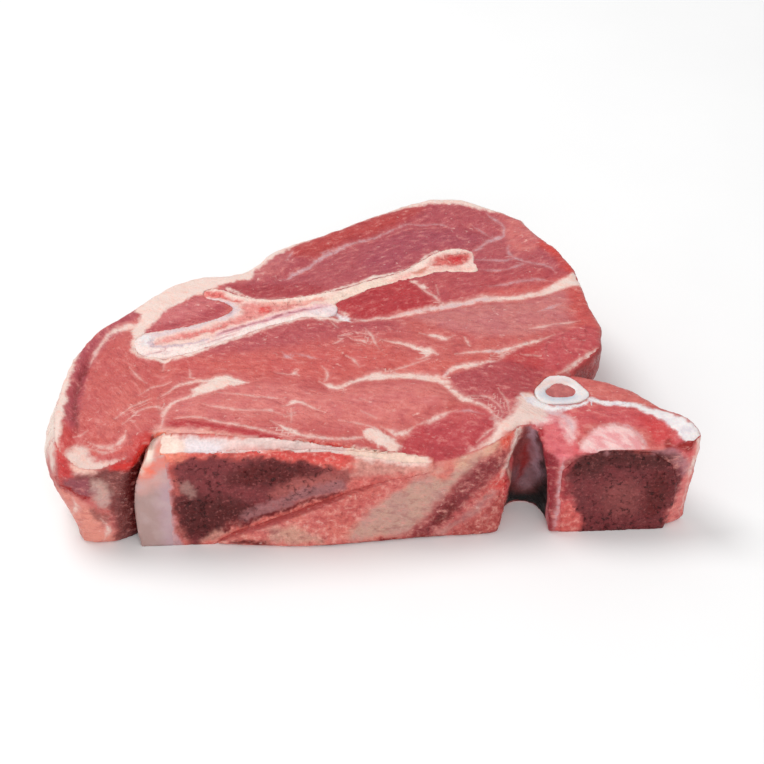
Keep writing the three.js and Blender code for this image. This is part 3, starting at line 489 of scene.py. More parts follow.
BLADE_TINTS = [
    ("salmon inside of the bar", (227, 144, 138), 1.6,
     [(-82, -18.8), (-76, -14.8), (-68, -11.4), (-60, -7.6), (-54, -3.4), (-50.6, 1),
      (-51, 6), (-46, 7.6), (-40, 6.8), (-32, 7.8), (-24, 9.6), (-19, 10.6), (-20, 8.8),
      (-28, 5.4), (-36, 2), (-43, -1.4), (-50, -5.4), (-57, -9.4), (-64, -12.8), (-72, -16),
      (-79, -18.4)]),
    ("redder stretch", (220, 120, 116), 1.2,
     [(-72, -14.4), (-65, -11.4), (-56, -7), (-56, -8.6), (-63, -12.4), (-71, -15.4)]),
    ("red spot", (220, 88, 84), 1.0, [(-44, 4.4), (-40, 4.6), (-39.4, 2), (-43, 1)]),
    ("prong", (226, 118, 112), 1.1,
     [(-66.6, 13.2), (-64, 14.8), (-60, 13.4), (-56, 10.8), (-51, 8.4), (-51.6, 6.8), (-57, 9),
      (-62, 10.6), (-65.6, 11.4)]),
    ("pink of the upper band", (238, 176, 162), 1.4,
     [(-44, 7.4), (-34, 8), (-24, 10.4), (-14, 12.4), (-6, 16), (-8, 13), (-18, 9.6), (-30, 6.8),
      (-42, 6)]),
    ("cream upper edge", (244, 218, 206), 1.0,
     [(-70, 16), (-62, 18), (-54, 13), (-47, 10.2), (-36, 10), (-24, 13), (-12, 17.6),
      (-1, 24), (10, 29), (18, 36), (24, 43), (37, 44), (39, 40), (25, 39.6), (20, 34), (14, 29.4),
      (4, 23.6), (-10, 15), (-22, 10.6), (-34, 8.4), (-46, 8.6), (-54, 11.6), (-60, 14.6),
      (-66, 14.8)]),
    ("lilac lining of the fork", (224, 200, 201), 0.9,
     [(-67, 10), (-62, 9.6), (-57, 8.4), (-53.4, 6), (-51.8, 3), (-52.6, 0), (-56, -3.4), (-62, -6.4),
      (-70, -10.6), (-78, -14), (-86, -16.6), (-88, -15), (-80, -11), (-70, -7.6), (-62, -3.4),
      (-57, -1), (-55, 2), (-55.6, 5), (-60, 7)]),
    ("grey stain of the lining", (194, 164, 174), 0.9,
     [(-57.6, 7), (-55, 5), (-54.4, 1.4), (-56.4, -1.6), (-57.4, 0), (-56, 3), (-58.6, 6)]),
    ("white lower edge", (243, 222, 216), 1.1,
     [(-92, -16), (-90, -28), (-78, -30), (-66, -26), (-55, -19), (-44, -12.6), (-33, -6.5),
      (-24, -4), (-12, -4), (-16, 1), (-24, 1.6), (-34, -2), (-44, -6.6), (-54, -12), (-62, -16.4),
      (-70, -19.6), (-78, -21), (-84, -20), (-87, -15)]),
    ("cream line over the red one", (243, 206, 194), 0.9,
     [(-79, -18.2), (-70, -15.8), (-62, -12.2), (-55, -8.6), (-48, -4.6), (-41, -.8), (-34, 2.6),
      (-26, 5.8), (-20, 7.6), (-20, 6.4), (-28, 3.4), (-36, .6), (-43, -3.2), (-50, -7), (-57, -10.8),
      (-64, -14), (-71, -17), (-78, -19)]),
    ("pink round the red line", (224, 172, 180), 1.2,
     [(-60, -14.4), (-52, -10.4), (-44, -6.4), (-36, -2.4), (-29, .6), (-20, 3.4), (-18, 6),
      (-26, 4.4), (-34, 1.4), (-42, -3), (-50, -7.4), (-58, -11.6)]),
    ("blue-white bulb", (232, 224, 224), 1.8,
     [(-88, -14.6), (-84.6, -13.4), (-83, -16), (-83.4, -19), (-85.4, -20.4), (-87.4, -18)]),
    ("grey line of the bulb", (204, 178, 186), 0.7,
     [(-83.4, -16), (-82.4, -19), (-79, -20), (-70, -18.6), (-62, -15.6), (-62, -16.8),
      (-70, -19.8), (-79, -21), (-84, -20)]),
    ("blue-white tip", (232, 212, 214), 1.6,
     [(-26, 2.4), (-20, 4.4), (-15, 4.8), (-12, 2), (-13, -1.4), (-20, -.6), (-26, .4)]),
    ("fat band to the knob", (241, 214, 199), 1.2,
     [(-20, 9), (-16, 6.6), (-12, 9.6), (-4, 14), (6, 19), (16, 22), (21, 26), (28, 27.4),
      (39, 26), (40, 30.6), (30, 30.6), (20, 29.4), (12, 26), (8, 25.6), (-4, 20), (-14, 14)]),
    ("pink of that band", (238, 184, 174), 1.4,
     [(4, 21), (12, 23), (20, 27.6), (30, 29), (38, 28.6), (37, 30.4), (28, 30.6), (18, 29), (8, 24.6)]),
    ("brown-pink streak", (212, 138, 122), 0.9,
     [(13, 26.4), (17, 29.6), (20.6, 31.6), (20, 29.6), (17, 27.4), (14, 25.6)]),
    ("knob", (212, 108, 103), 2.0,
     [(20.4, 33), (24, 31.6), (30, 32), (35.4, 34), (35.8, 41), (30, 40.6), (25.6, 38.4), (22, 35.6)]),
    ("red core of the knob", (202, 62, 66), 2.0,
     [(27.6, 36), (30.4, 34.4), (33, 35.6), (33.4, 38.4), (30.6, 39.4), (28.2, 38)]),
]
BLADE_RED_LINES = [
    [(-60, -13.6, .3), (-56, -11.2, .5), (-52, -9, .6), (-48, -7, .5), (-44, -5.2, .4),
     (-40, -3.4, .5), (-36, -.8, .7), (-33, .9, .7), (-30, 1.6, .5), (-26, 3, .5), (-20, 4.6, .3)],
    [(-88, -26, .2), (-80, -23.6, .3), (-76, -23, .2)], [(-78, -19.4, .3), (-77.4, -24, .3)],
    [(-64, -19, .2), (-58, -15.6, .3), (-52, -12.4, .2)],
]

# The spine's sawn face in x and z, and its upper face in plan.
SPINE_SPONGY = [(-69, 37), (-60, 38), (-40, 36.6), (-26, 35), (-18, 32.4), (-12, 30), (-9, 26.6),
                (-14, 23), (-26, 19), (-36, 14.6), (-46, 10.4), (-56, 6.6), (-61, 3), (-64.4, -2),
                (-68, 4.6), (-70.4, 13), (-71, 24)]
SPINE_FRONT_TINTS = [
    ("spongy bone", (121, 64, 66), 1.8, SPINE_SPONGY),
    ("darkest marrow", (88, 36, 42), 4.0,
     [(-70, 20), (-60, 21), (-50, 20), (-42, 14), (-52, 8), (-62, 4), (-69, 6)]),
    ("dark upper marrow", (94, 44, 48), 3.4,
     [(-48, 33), (-38, 36), (-26, 34), (-20, 30), (-30, 25), (-44, 25), (-52, 28)]),
    ("pink marrow", (160, 92, 88), 2.6,
     [(-38, 21), (-28, 27), (-16, 30), (-10, 28), (-14, 24), (-26, 20)]),
    ("grey-pink strip", (152, 102, 103), 1.4,
     [(-47, 13.4), (-38, 17.8), (-28, 22), (-16, 25.6), (-11, 25.2), (-12, 22), (-26, 17.6),
      (-38, 12.6), (-46, 9.6)]),
    # Painted shade of a crease that runs under the spongy bone.
    ("painted crease shade under the sponge", (112, 48, 52), 0.8,
     [(-54, 7.2), (-46, 10.4), (-36, 14), (-26, 17.4), (-12, 21.6), (-12, 20.4), (-26, 15.8),
      (-36, 12.2), (-46, 8.4), (-54, 5.4)]),
    ("lavender beside the cartilage", (186, 150, 152), 1.4,
     [(-75.4, 35), (-72.6, 35), (-71.8, 24), (-72, 12), (-69.6, 2), (-68.6, -4), (-75.4, -4)]),
    ("grey spot", (152, 114, 108), 1.4, [(-68, 26), (-64.4, 27), (-63, 22), (-66, 20.5)]),
    ("coral flecks at the left", (176, 96, 90), 1.2, [(-70.4, 30), (-69, 28), (-68.6, 22), (-70.2, 23)]),
    ("red rim", (214, 106, 95), 1.6,
     [(-76, 44), (-60, 42), (-34, 42), (-12, 40), (-5, 37), (-6, 31), (-12, 31.6), (-20, 34),
      (-30, 36.8), (-46, 38.4), (-60, 38.6), (-74, 38.6)]),
    ("deep red of the rim", (206, 88, 82), 2.0,
     [(-46, 41.6), (-30, 41), (-12, 38.4), (-7, 35.4), (-13, 33.4), (-26, 35.8), (-42, 38.6)]),
    ("pale lip", (238, 196, 186), 1.1,
     [(-76, 48), (-76, 41.8), (-60, 41.2), (-40, 41.4), (-20, 40.4), (-6, 38.4), (-6, 48)]),
    ("orange start of the rim", (230, 138, 116), 1.8, [(-76, 44), (-66, 42), (-66, 38.8), (-74, 36)]),
    ("cream edge", (238, 206, 192), 1.2,
     [(-8, 40), (2, 39), (12, 37), (22, 36), (22, 30.6), (10, 31.6), (0, 33), (-7, 35)]),
    ("fading end", (206, 124, 112), 1.6, [(17.6, 48), (30, 48), (26, 26), (18.8, 26), (17.6, 31)]),
    ("tan flesh under it", (204, 148, 134), 1.8,
     [(-7, 35), (0, 33), (10, 31.4), (22, 30.4), (22, 28), (8, 29), (-2, 29.4), (-8, 31)]),
]
SPINE_TOP_TINTS = [
    ("white band", (231, 204, 198), 1.6,
     [(-78, -72), (-68, -71.6), (-60, -72.4), (-50, -72.8), (-42, -71), (-30, -70), (-10, -70),
      (16, -70), (17, -80), (4, -79), (-4, -77.6), (-14, -79), (-30, -79), (-38, -76.4),
      (-46, -76.4), (-52, -82), (-78, -84)]),
    ("blue-white stretch", (232, 218, 220), 2.8,
     [(-66, -73.6), (-58, -73.4), (-53, -75), (-54, -80), (-64, -80)]),
    ("pink stretch", (238, 200, 194), 2.4, [(-52, -75.6), (-40, -75.8), (-38, -78), (-44, -82), (-52, -82)]),
    ("cream start", (248, 218, 204), 1.4, [(-78, -72), (-68, -72.4), (-67, -78), (-70, -84), (-80, -84)]),
    ("red front edge", (222, 128, 116), 1.0,
     [(-38, -77.2), (-30, -77.4), (-18, -77.6), (-6, -76.6), (-4, -84), (-40, -84)]),
    ("cream end", (240, 208, 192), 1.6, [(-8, -70), (14, -70), (17, -72), (17.4, -82), (-8, -80)]),
    ("flesh behind it", (232, 170, 158), 1.6,
     [(-78, -66), (-60, -69), (-50, -71), (-44, -71), (-42, -67), (-78, -64)]),
]
# The vertebra's spongy inside, in x and z: it ends just short of the piece's own edge.
VERTEBRA_SPONGY = [(74.6, -3), (73, 5), (70, 14), (67.6, 21), (67.4, 26), (69, 30), (72, 32.6),
                   (78, 33.8), (86, 34.2), (94, 33.4), (100, 32), (104.6, 28.6), (107.8, 24),
                   (108, 18), (105.8, 10), (103.6, 4), (102.4, -3)]
VERTEBRA_TINTS = [
    ("spongy bone", (112, 60, 62), 1.5, VERTEBRA_SPONGY),
    ("dark top", (86, 38, 43), 3.0,
     [(68, 26), (72, 34), (84, 36), (98, 34), (105, 29), (96, 27), (84, 28), (74, 25)]),
    ("pale middle", (130, 74, 73), 5.0, [(80, 18), (88, 22), (94, 16), (92, 8), (84, 8)]),
    ("dark right", (96, 46, 50), 3.0, [(98, 26), (104, 22), (102, 8), (96, 6), (95, 16)]),
]
RIB_TINTS = [
    # Painted shade along the front of the ring's inner edge.
    ("painted blue-grey shade of the inner edge", (200, 202, 210), 1.6,
     [(58.4, -44), (58.2, -46.6), (60, -48), (63, -49.4), (67.1, -49.4), (71.6, -48), (71.4, -45),
      (67.2, -46.4), (62.3, -46.6), (60.6, -43.4)]),
    ("pink blush", (230, 204, 198), 1.8,
     [(57, -42), (60, -38), (66, -36), (71, -38), (68, -39.6), (62, -40.4), (58.6, -44)]),
]
MARROW_TINTS = [
    # Painted shade along the marrow's front edge, where it meets the ring's wall.
    ("painted shade of the rim", (166, 84, 88), 0.8, [(60, -46), (70, -47), (71, -44), (68, -47.4), (62, -47.8)]),
]
CARTILAGE_TINTS = [
    ("lavender side", (176, 146, 152), 2.6, [(-75.4, -2), (-68, -2), (-68, 33), (-75, 31)]),
    ("pink upper part", (198, 150, 143), 3.4, [(-84, 24), (-76, 26), (-72, 30), (-76, 36), (-84, 36)]),
    ("orange band", (224, 112, 92), 2.0,
     [(-82, 30), (-76, 32.6), (-69, 34.8), (-68, 41), (-74, 39.6), (-79, 36.4), (-83, 34)]),
    ("cream rim", (242, 214, 200), 2.2,
     [(-82, 32), (-80, 35), (-75.6, 39.6), (-69, 41.6), (-66, 50), (-86, 50)]),
]


def linear(rgb):
    """A colour given from 0 to 255 as display values, as linear light."""
    shares = np.asarray(rgb, float) / 255
    return np.where(shares <= 0.04045, shares / 12.92, ((shares + 0.055) / 1.055) ** 2.4)


def lit(rgb, light=TOP_LIGHT):
    """The surface colour that looks like the given one under the stage's lamps."""
    return np.clip((linear(rgb) - SHEEN) / light, DARKEST, BRIGHTEST)


def paint(rgb, light=TOP_LIGHT):
    """The same as a colour socket takes it."""
    return (*lit(rgb, light), 1.0)


# ---- distances to strokes and outlines


def curved(rows, closed=False):
    """Points on a smooth curve through the rows, every column carried along."""
    rows = np.asarray(rows, float)
    if closed:
        rows = np.vstack([rows[-1], rows, rows[0], rows[1]])
    else:
        rows = np.vstack([2 * rows[0] - rows[1], rows, 2 * rows[-1] - rows[-2]])
        rows[:, 2:] = np.maximum(rows[:, 2:], 0)
    points = []
    for before, start, end, after in zip(rows, rows[1:], rows[2:], rows[3:]):
        count = max(1, round(math.dist(start[:2], end[:2]) / CURVE_STEP))
        for t in np.arange(count) / count:
            points.append(0.5 * (2 * start + (end - before) * t
                                 + (2 * before - 5 * start + 4 * end - after) * t ** 2
                                 + (3 * start - before - 3 * end + after) * t ** 3))
    if not closed:
        points.append(rows[-2])
    return np.array(points)


def to_segments(points, starts, ends):
    """Nearest segment for each point: plain distance, signed distance, share along, index."""
    run = ends - starts
    length2 = np.maximum((run ** 2).sum(1), 1e-9)
    offset = points[:, None] - starts[None]
    share = np.clip((offset * run).sum(2) / length2, 0, 1)
    gap = offset - share[..., None] * run
    squared = (gap ** 2).sum(2)
    best = squared.argmin(1)
    rows = np.arange(len(points))
    cross = run[best, 0] * offset[rows, best, 1] - run[best, 1] * offset[rows, best, 0]
    return np.sqrt(squared[rows, best]), cross / np.sqrt(length2[best]), share[rows, best], best


def stroke_field(points, strokes):
    """Columns for each point: signed distance to the nearest stroke's line, its half-width
    there and the plain distance."""
    field = np.full((len(points), 3), FAR)
    field[:, 1] = 0
    score = np.full(len(points), FAR)
    for rows in strokes:
        line = curved(rows)
        ends = np.minimum(np.arange(len(line)), np.arange(len(line))[::-1])
        line[:, 2] *= np.clip(END_WIDTH + (1 - END_WIDTH) * ends / 2, 0, 1)
        low, high = line[:, :2].min(0) - FAR, line[:, :2].max(0) + FAR
        near = np.flatnonzero(((points > low) & (points < high)).all(1))
        if not len(near):
            continue
        plain, signed, share, at = to_segments(points[near], line[:-1, :2], line[1:, :2])
        half = line[at, 2] * (1 - share) + line[at + 1, 2] * share
        closer = plain - half < score[near]
        near, plain, signed, half = near[closer], plain[closer], signed[closer], half[closer]
        score[near] = plain - half
        field[near] = np.column_stack([signed, half, plain])
    return field


def outline_field(points, outline):
    """Distance to a smooth closed outline, negative inside."""
    loop = curved(outline, closed=True)
    ends = np.roll(loop, -1, 0)
    field = np.full(len(points), FAR)
    low, high = loop.min(0) - FAR, loop.max(0) + FAR
    near = np.flatnonzero(((points > low) & (points < high)).all(1))
    if not len(near):
        return field
    x, y = points[near].T
    inside = np.zeros(len(near), bool)
    for (ax, ay), (bx, by) in zip(loop, ends):
        if ay != by:
            inside ^= ((y < ay) != (y < by)) & (x < ax + (y - ay) / (by - ay) * (bx - ax))
    plain = to_segments(points[near], loop, ends)[0]
    field[near] = np.minimum(np.where(inside, -plain, plain), FAR)
    return field


def patches_field(points, outlines):
    """Distance to the nearest of several outlines, negative inside."""
    return np.min([outline_field(points, outline) for outline in outlines], 0)


def smooth(value, low, high):
    """The value's way from low to high as 0 to 1, eased at both ends."""
    t = np.clip((value - low) / (high - low), 0, 1)
    return t * t * (3 - 2 * t)


def tinted(points, colours, tints, light=TOP_LIGHT):
    """Colours with each tint laid over them inside its outline."""
    for _, rgb, softness, outline in tints:
        share = 1 - smooth(outline_field(points, outline), -softness, softness)
        colours = colours + share[:, None] * (lit(rgb, light) - colours)
    return colours


def all_of(colour, points):
    """One colour for every point."""
    return np.repeat(np.array(colour)[None], len(points), 0)


def rows_of(tints, *names):
    """The outlines of the tints with these names."""
    return [outline for name, _, _, outline in tints if name in names]


# ---- meshes


def of_points(mesh, field):
    """One row of three numbers for each of the mesh's points."""
    flat = np.empty(len(mesh.vertices) * 3, np.float32)
    mesh.vertices.foreach_get(field, flat)
    return flat.reshape(-1, 3).astype(float)


def coordinates(mesh):
    return of_points(mesh, "co")


def normals(mesh):
    return of_points(mesh, "normal")


def place(mesh, points):
    """Moves the mesh's points to the given places, in metres."""
    mesh.vertices.foreach_set("co", np.asarray(points, np.float32).ravel())
    mesh.update()


def attribute(mesh, name, values):
    """Keeps values on the mesh's points: one, three or four columns."""
    kinds = {1: ("FLOAT", "value"), 3: ("FLOAT_VECTOR", "vector"), 4: ("FLOAT_COLOR", "color")}
    values = np.asarray(values, np.float32)
    kind, field = kinds[1 if values.ndim == 1 else values.shape[1]]
    mesh.attributes.new(name, kind, "POINT").data.foreach_set(field, values.ravel())


def colour_attribute(mesh, name, colours):
    attribute(mesh, name, np.column_stack([colours, np.ones(len(colours))]))


def waves(points, size, seed, detail=2):
    """Smooth noise about 0, with features of the given size in mm."""
    shift = Vector((seed * 7.3, seed * 3.1, seed * 5.7))
    scale = 1 / size
    return np.array([noise.fractal(Vector(p) * scale + shift, 1.0, 2.0, detail) for p in points])


def wavy(points, amount, seed):
    """Points in plan or elevation moved about a little, so that what is painted there
    gets irregular borders."""
    flat = np.column_stack([points, np.zeros(len(points))])
    shifts = [waves(flat, 3.4, seed + k) + 0.6 * waves(flat, 1.2, seed + k + 5) for k in (0, 1)]
    return points + amount * np.column_stack(shifts)


def surface_of(node):
    """A CAD node's surface, to look up nearest points on."""
    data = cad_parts[node].data
    return BVHTree.FromPolygons([v.co for v in data.vertices],
                                [p.vertices for p in data.polygons])


def even_copy(name, node, voxel):
    """A closed, evenly meshed copy of a CAD node, back on the node's own surface."""
    piece = bpy.data.objects.new(name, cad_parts[node].data.copy())
    bpy.context.scene.collection.objects.link(piece)
    remesh = piece.modifiers.new("even mesh", "REMESH")
    remesh.mode = "VOXEL"
    remesh.voxel_size = voxel * MM
    remesh.use_smooth_shade = True
    graph = bpy.context.evaluated_depsgraph_get()
    mesh = bpy.data.meshes.new_from_object(piece.evaluated_get(graph))
    rough = piece.data
    piece.modifiers.clear()
    piece.data = mesh
    bpy.data.meshes.remove(rough)
    mesh.name = name
    mesh.materials.clear()
    surface = surface_of(node)
    place(mesh, [tuple(surface.find_nearest(v.co)[0]) for v in mesh.vertices])
    return piece


def settle(mesh, points, share, rounds):
    """Evens out small kinks by moving each point towards its neighbours' mean. The share of
    the way is one number, or a column with one for each point."""
    pairs = np.empty(len(mesh.edges) * 2, np.int64)
    mesh.edges.foreach_get("vertices", pairs)
    a, b = pairs.reshape(-1, 2).T
    count = np.bincount(pairs, minlength=len(points))[:, None]
    for _ in range(rounds):
        total = np.zeros_like(points)
        for axis in range(3):
            total[:, axis] = (np.bincount(a, points[b, axis], len(points))
                              + np.bincount(b, points[a, axis], len(points)))
        points = points + share * (total / count - points)
    return points


# ---- material nodes


def feed(tree, socket, value):
    """Links the value to the socket if it is a socket itself, or else sets it there."""
    if isinstance(value, bpy.types.NodeSocket):
        tree.links.new(value, socket)
    else:
        socket.default_value = value


def put(tree, kind, inputs=(), **settings):
    """Adds a node; inputs are values or sockets by name or number."""
    node = tree.nodes.new(kind)
    for key, value in settings.items():
        setattr(node, key, value)
    for key, value in dict(inputs).items():
        feed(tree, node.inputs[key], value)
    return node


def sums(tree, operation, a, b=0.0, c=None, clamp=False):
    """A piece of arithmetic; only MULTIPLY_ADD takes a third number."""
    inputs = {0: a, 1: b}
    if c is not None:
        inputs[2] = c
    return put(tree, "ShaderNodeMath", inputs, operation=operation, use_clamp=clamp).outputs[0]


def times(tree, a, b):
    return sums(tree, "MULTIPLY", a, b)


def plus(tree, a, b):
    return sums(tree, "ADD", a, b)


def spread(tree, value, low, high, to_low=0.0, to_high=1.0):
    """The value's way from low to high, smoothed, as to_low to to_high."""
    inputs = {"Value": value, "From Min": low, "From Max": high,
              "To Min": to_low, "To Max": to_high}
    return put(tree, "ShaderNodeMapRange", inputs,
               interpolation_type="SMOOTHSTEP").outputs["Result"]


# Where a Mix node keeps its factor, its two colours and their mix.
MIX_FACTOR, MIX_BELOW, MIX_ABOVE, MIX_RESULT = 0, 6, 7, 2


def over(tree, factor, below, above, mode="MIX"):
    """One colour laid over another."""
    inputs = {MIX_FACTOR: factor, MIX_BELOW: below, MIX_ABOVE: above}
    return put(tree, "ShaderNodeMix", inputs, data_type="RGBA",
               blend_type=mode).outputs[MIX_RESULT]


def grain(tree, where, size, detail=2.0, roughness=0.5, distortion=0.0):
    """Noise from 0 to 1 with features of the given size in mm."""
    inputs = {"Vector": where, "Scale": 1 / (size * MM), "Detail": detail,
              "Roughness": roughness, "Distortion": distortion}
    return put(tree, "ShaderNodeTexNoise", inputs).outputs["Fac"]


def along(tree, where, angle, stretch):
    """Coordinates for streaks that run at an angle in plan, stretched by a factor."""
    return put(tree, "ShaderNodeMapping",
               {"Vector": where, "Rotation": (0, 0, angle), "Scale": (stretch, 1, 1)},
               vector_type="TEXTURE").outputs["Vector"]


def kept(tree, name, output="Fac"):
    """What a mesh keeps on its points under this name."""
    return put(tree, "ShaderNodeAttribute", attribute_name=name).outputs[output]


def own_place(tree):
    """The place on the piece itself, in metres."""
    return put(tree, "ShaderNodeTexCoord").outputs["Object"]


def new_group(name, inputs, outputs):
    """An empty node group, what it is given and what it gives out. Each socket has a label,
    a kind and a default."""
    group = bpy.data.node_groups.new(name, "ShaderNodeTree")
    for kind, sockets in (("INPUT", inputs), ("OUTPUT", outputs)):
        for label, socket_type, default in sockets:
            socket = group.interface.new_socket(label, in_out=kind, socket_type=socket_type)
            if default is not None:
                socket.default_value = default
    source = group.nodes.new("NodeGroupInput").outputs
    sink = group.nodes.new("NodeGroupOutput").inputs
    return group, source, sink


FLOAT, VECTOR, COLOUR = "NodeSocketFloat", "NodeSocketVector", "NodeSocketColor"


def stroke_group():
    """A seam or streak from its kept distances: it wanders, swells, thins and breaks up.
    Halo is the paler flesh along it."""
    group, given, out = new_group(
        "Painted stroke",
        [("Stroke", VECTOR, None), ("Place", VECTOR, None), ("Ragged", FLOAT, 0.5),
         ("Soft", FLOAT, 0.3)],
        [("Mask", FLOAT, None), ("Halo", FLOAT, None)])
    signed, half, plain = put(group, "ShaderNodeSeparateXYZ", {0: given["Stroke"]}).outputs
    where = given["Place"]

    def about_zero(size, detail):
        return sums(group, "SUBTRACT", grain(group, where, size, detail), 0.5)

    wander = plus(group, times(group, about_zero(3.2, 1.0), 3.0),
                  times(group, about_zero(1.0, 2.0), 1.6))
    steady = sums(group, "MULTIPLY_ADD", half, 0.8, 0.3, clamp=True)
    wander = times(group, times(group, wander, steady), given["Ragged"])
    centred = sums(group, "ABSOLUTE", plus(group, signed, wander))
    swelling = spread(group, grain(group, where, 3.0, 3.0), 0.34, 0.66, -0.6, 0.42)
    swelling = sums(group, "DIVIDE", times(group, half, swelling),
                    sums(group, "MULTIPLY_ADD", half, 0.6, 1.0))
    edge = sums(group, "SUBTRACT", centred, plus(group, half, swelling))
    reach = sums(group, "LESS_THAN", plain, plus(group, half, 1.5))
    some = times(group, reach, sums(group, "GREATER_THAN", half, 0.04))
    thin = sums(group, "MULTIPLY_ADD", half, 0.62, 0.36, clamp=True)
    broken = spread(group, grain(group, where, 1.7, 3.0), 0.36, 0.5, 0.5, 1.0)
    thin = times(group, thin, sums(group, "MAXIMUM", broken, times(group, half, 0.55)))
    soft = times(group, given["Soft"], sums(group, "MULTIPLY_ADD", half, 0.4, 0.7))
    mask = times(group, spread(group, edge, soft, times(group, soft, -1.2)), thin)
    halo = times(group, spread(group, edge, plus(group, half, 1.2), 0.0), thin)
    group.links.new(times(group, mask, some), out["Mask"])
    group.links.new(times(group, halo, some), out["Halo"])
    return group


def patch_group():
    """An area from its kept distance, with a ragged edge."""
    group, given, out = new_group(
        "Painted patch",
        [("Distance", FLOAT, None), ("Place", VECTOR, None), ("Ragged", FLOAT, 1.2),
         ("Soft", FLOAT, 0.4)],
        [("Mask", FLOAT, None)])
    rough = grain(group, given["Place"], 2.8, 4.0, 0.58)
    wobble = times(group, sums(group, "SUBTRACT", rough, 0.5), given["Ragged"])
    edge = plus(group, given["Distance"], wobble)
    mask = spread(group, edge, given["Soft"], times(group, given["Soft"], -1.0))
    group.links.new(mask, out["Mask"])
    return group


def mottle_group():
    """Uneven colour and a fine granular relief, as on moist cut flesh and bone."""
    group, given, out = new_group(
        "Moist mottle",
        [("Colour", COLOUR, (1, 1, 1, 1)), ("Place", VECTOR, None), ("Cloud size", FLOAT, 6.0),
         ("Grain size", FLOAT, 0.8), ("Strength", FLOAT, 0.2)],
        [("Colour", COLOUR, None), ("Grain", FLOAT, None)])

    def noise_of(size):
        scale = sums(group, "DIVIDE", 1 / MM, size)
        return put(group, "ShaderNodeTexNoise",
                   {"Vector": given["Place"], "Scale": scale, "Detail": 2.0}).outputs["Fac"]

    cloud, fine = noise_of(given["Cloud size"]), noise_of(given["Grain size"])
    mean = plus(group, times(group, cloud, 0.55), times(group, fine, 0.45))
    gain = sums(group, "MULTIPLY_ADD", sums(group, "SUBTRACT", mean, 0.5),
                times(group, given["Strength"], 4.0), 1.0)
    scaled = put(group, "ShaderNodeVectorMath", {0: given["Colour"], "Scale": gain},
                 operation="SCALE").outputs[0]
    group.links.new(scaled, out["Colour"])
    group.links.new(fine, out["Grain"])
    return group


def sponge_group():
    """Spongy bone: uneven dark pores, a broken net of paler walls between them, and the
    marks of the saw."""
    group, given, out = new_group(
        "Spongy bone",
        [("Place", VECTOR, None), ("Pore size", FLOAT, 1.0)],
        [("Pores", FLOAT, None), ("Net", FLOAT, None), ("Marks", FLOAT, None)])
    scale = sums(group, "DIVIDE", 1 / MM, given["Pore size"])

    def cloud(share, detail, where=given["Place"]):
        return put(group, "ShaderNodeTexNoise",
                   {"Vector": where, "Scale": times(group, scale, share),
                    "Detail": detail, "Roughness": 0.62}).outputs["Fac"]

    large = cloud(0.2, 2.0)
    pores = times(group, spread(group, cloud(0.75, 3.0), 0.47, 0.3),
                  spread(group, large, 0.36, 0.6, 0.25, 1.0))
    net = times(group, spread(group, cloud(1.2, 3.0), 0.52, 0.72),
                spread(group, large, 0.62, 0.4, 0.3, 1.0))
    drawn = along(group, given["Place"], 0.05, 4.0)
    marks = spread(group, cloud(1.3, 3.0, drawn), 0.52, 0.34)
    for name, value in (("Pores", pores), ("Net", net), ("Marks", marks)):
        group.links.new(value, out[name])
    return group


GROUP_MAKERS = {"Painted stroke": stroke_group, "Painted patch": patch_group,
                "Moist mottle": mottle_group, "Spongy bone": sponge_group}


def use(tree, name, inputs):
    """Places a shared group, built when first used, and gives back its outputs."""
    group = bpy.data.node_groups.get(name) or GROUP_MAKERS[name]()
    return put(tree, "ShaderNodeGroup", inputs, node_tree=group).outputs


def stroke_masks(tree, name, where, ragged, soft):
    """Where the kept strokes lie, and where their halo does."""
    masks = use(tree, "Painted stroke", {"Stroke": kept(tree, name, "Vector"), "Place": where,
                                         "Ragged": ragged, "Soft": soft})
    return masks["Mask"], masks["Halo"]


def patch_mask(tree, name, where, ragged, soft):
    """Where the kept patches lie."""
    return use(tree, "Painted patch", {"Distance": kept(tree, name), "Place": where,
                                       "Ragged": ragged, "Soft": soft})["Mask"]


def mottled(tree, colour, where, cloud, fine, strength):
    """The mottled colour and its grain, for clouds and a grain of these sizes in mm."""
    return use(tree, "Moist mottle", {"Colour": colour, "Place": where, "Cloud size": cloud,
                                      "Grain size": fine, "Strength": strength})


def new_material(name):
    """A material, its node tree and its surface shader, already linked to the output."""
    material = bpy.data.materials.new(name)
    material.use_nodes = True
    tree = material.node_tree
    tree.nodes.clear()
    shader = put(tree, "ShaderNodeBsdfPrincipled")
    output = put(tree, "ShaderNodeOutputMaterial")
    tree.links.new(shader.outputs[0], output.inputs["Surface"])
    return material, tree, shader


# How deep red, green and blue light go into flesh, as shares, and how it bends.
LIGHT_DEPTHS, MOIST_BEND = (1.0, 0.45, 0.35), 1.38


def finish_shader(tree, shader, colour, roughness, height, bump, soften, reach):
    """Colour, roughness and relief of a moist surface. Bump is the relief's height and reach
    how deep light goes, both in mm; soften is the share of light that goes in."""
    tree.links.new(colour, shader.inputs["Base Color"])
    tree.links.new(roughness, shader.inputs["Roughness"])
    relief = put(tree, "ShaderNodeBump", {"Strength": 1.0, "Distance": bump * MM,
                                          "Height": height})
    tree.links.new(relief.outputs[0], shader.inputs["Normal"])
    shader.inputs["Subsurface Weight"].default_value = soften
    shader.inputs["Subsurface Radius"].default_value = LIGHT_DEPTHS
    shader.inputs["Subsurface Scale"].default_value = reach * MM
    shader.inputs["Specular IOR Level"].default_value = 0.5
    shader.inputs["IOR"].default_value = MOIST_BEND


# ---- user's settings


def colour_property(name, description, rgb):
    return bpy.props.FloatVectorProperty(
        name=name, description=description, subtype="COLOR", size=3, min=0.0, max=1.0,
        default=tuple(lit(rgb)))


def length_property(name, description, millimetres):
    return bpy.props.FloatProperty(
        name=name, description=description, subtype="DISTANCE", unit="LENGTH",
        default=millimetres * MM, min=0.0, precision=5)


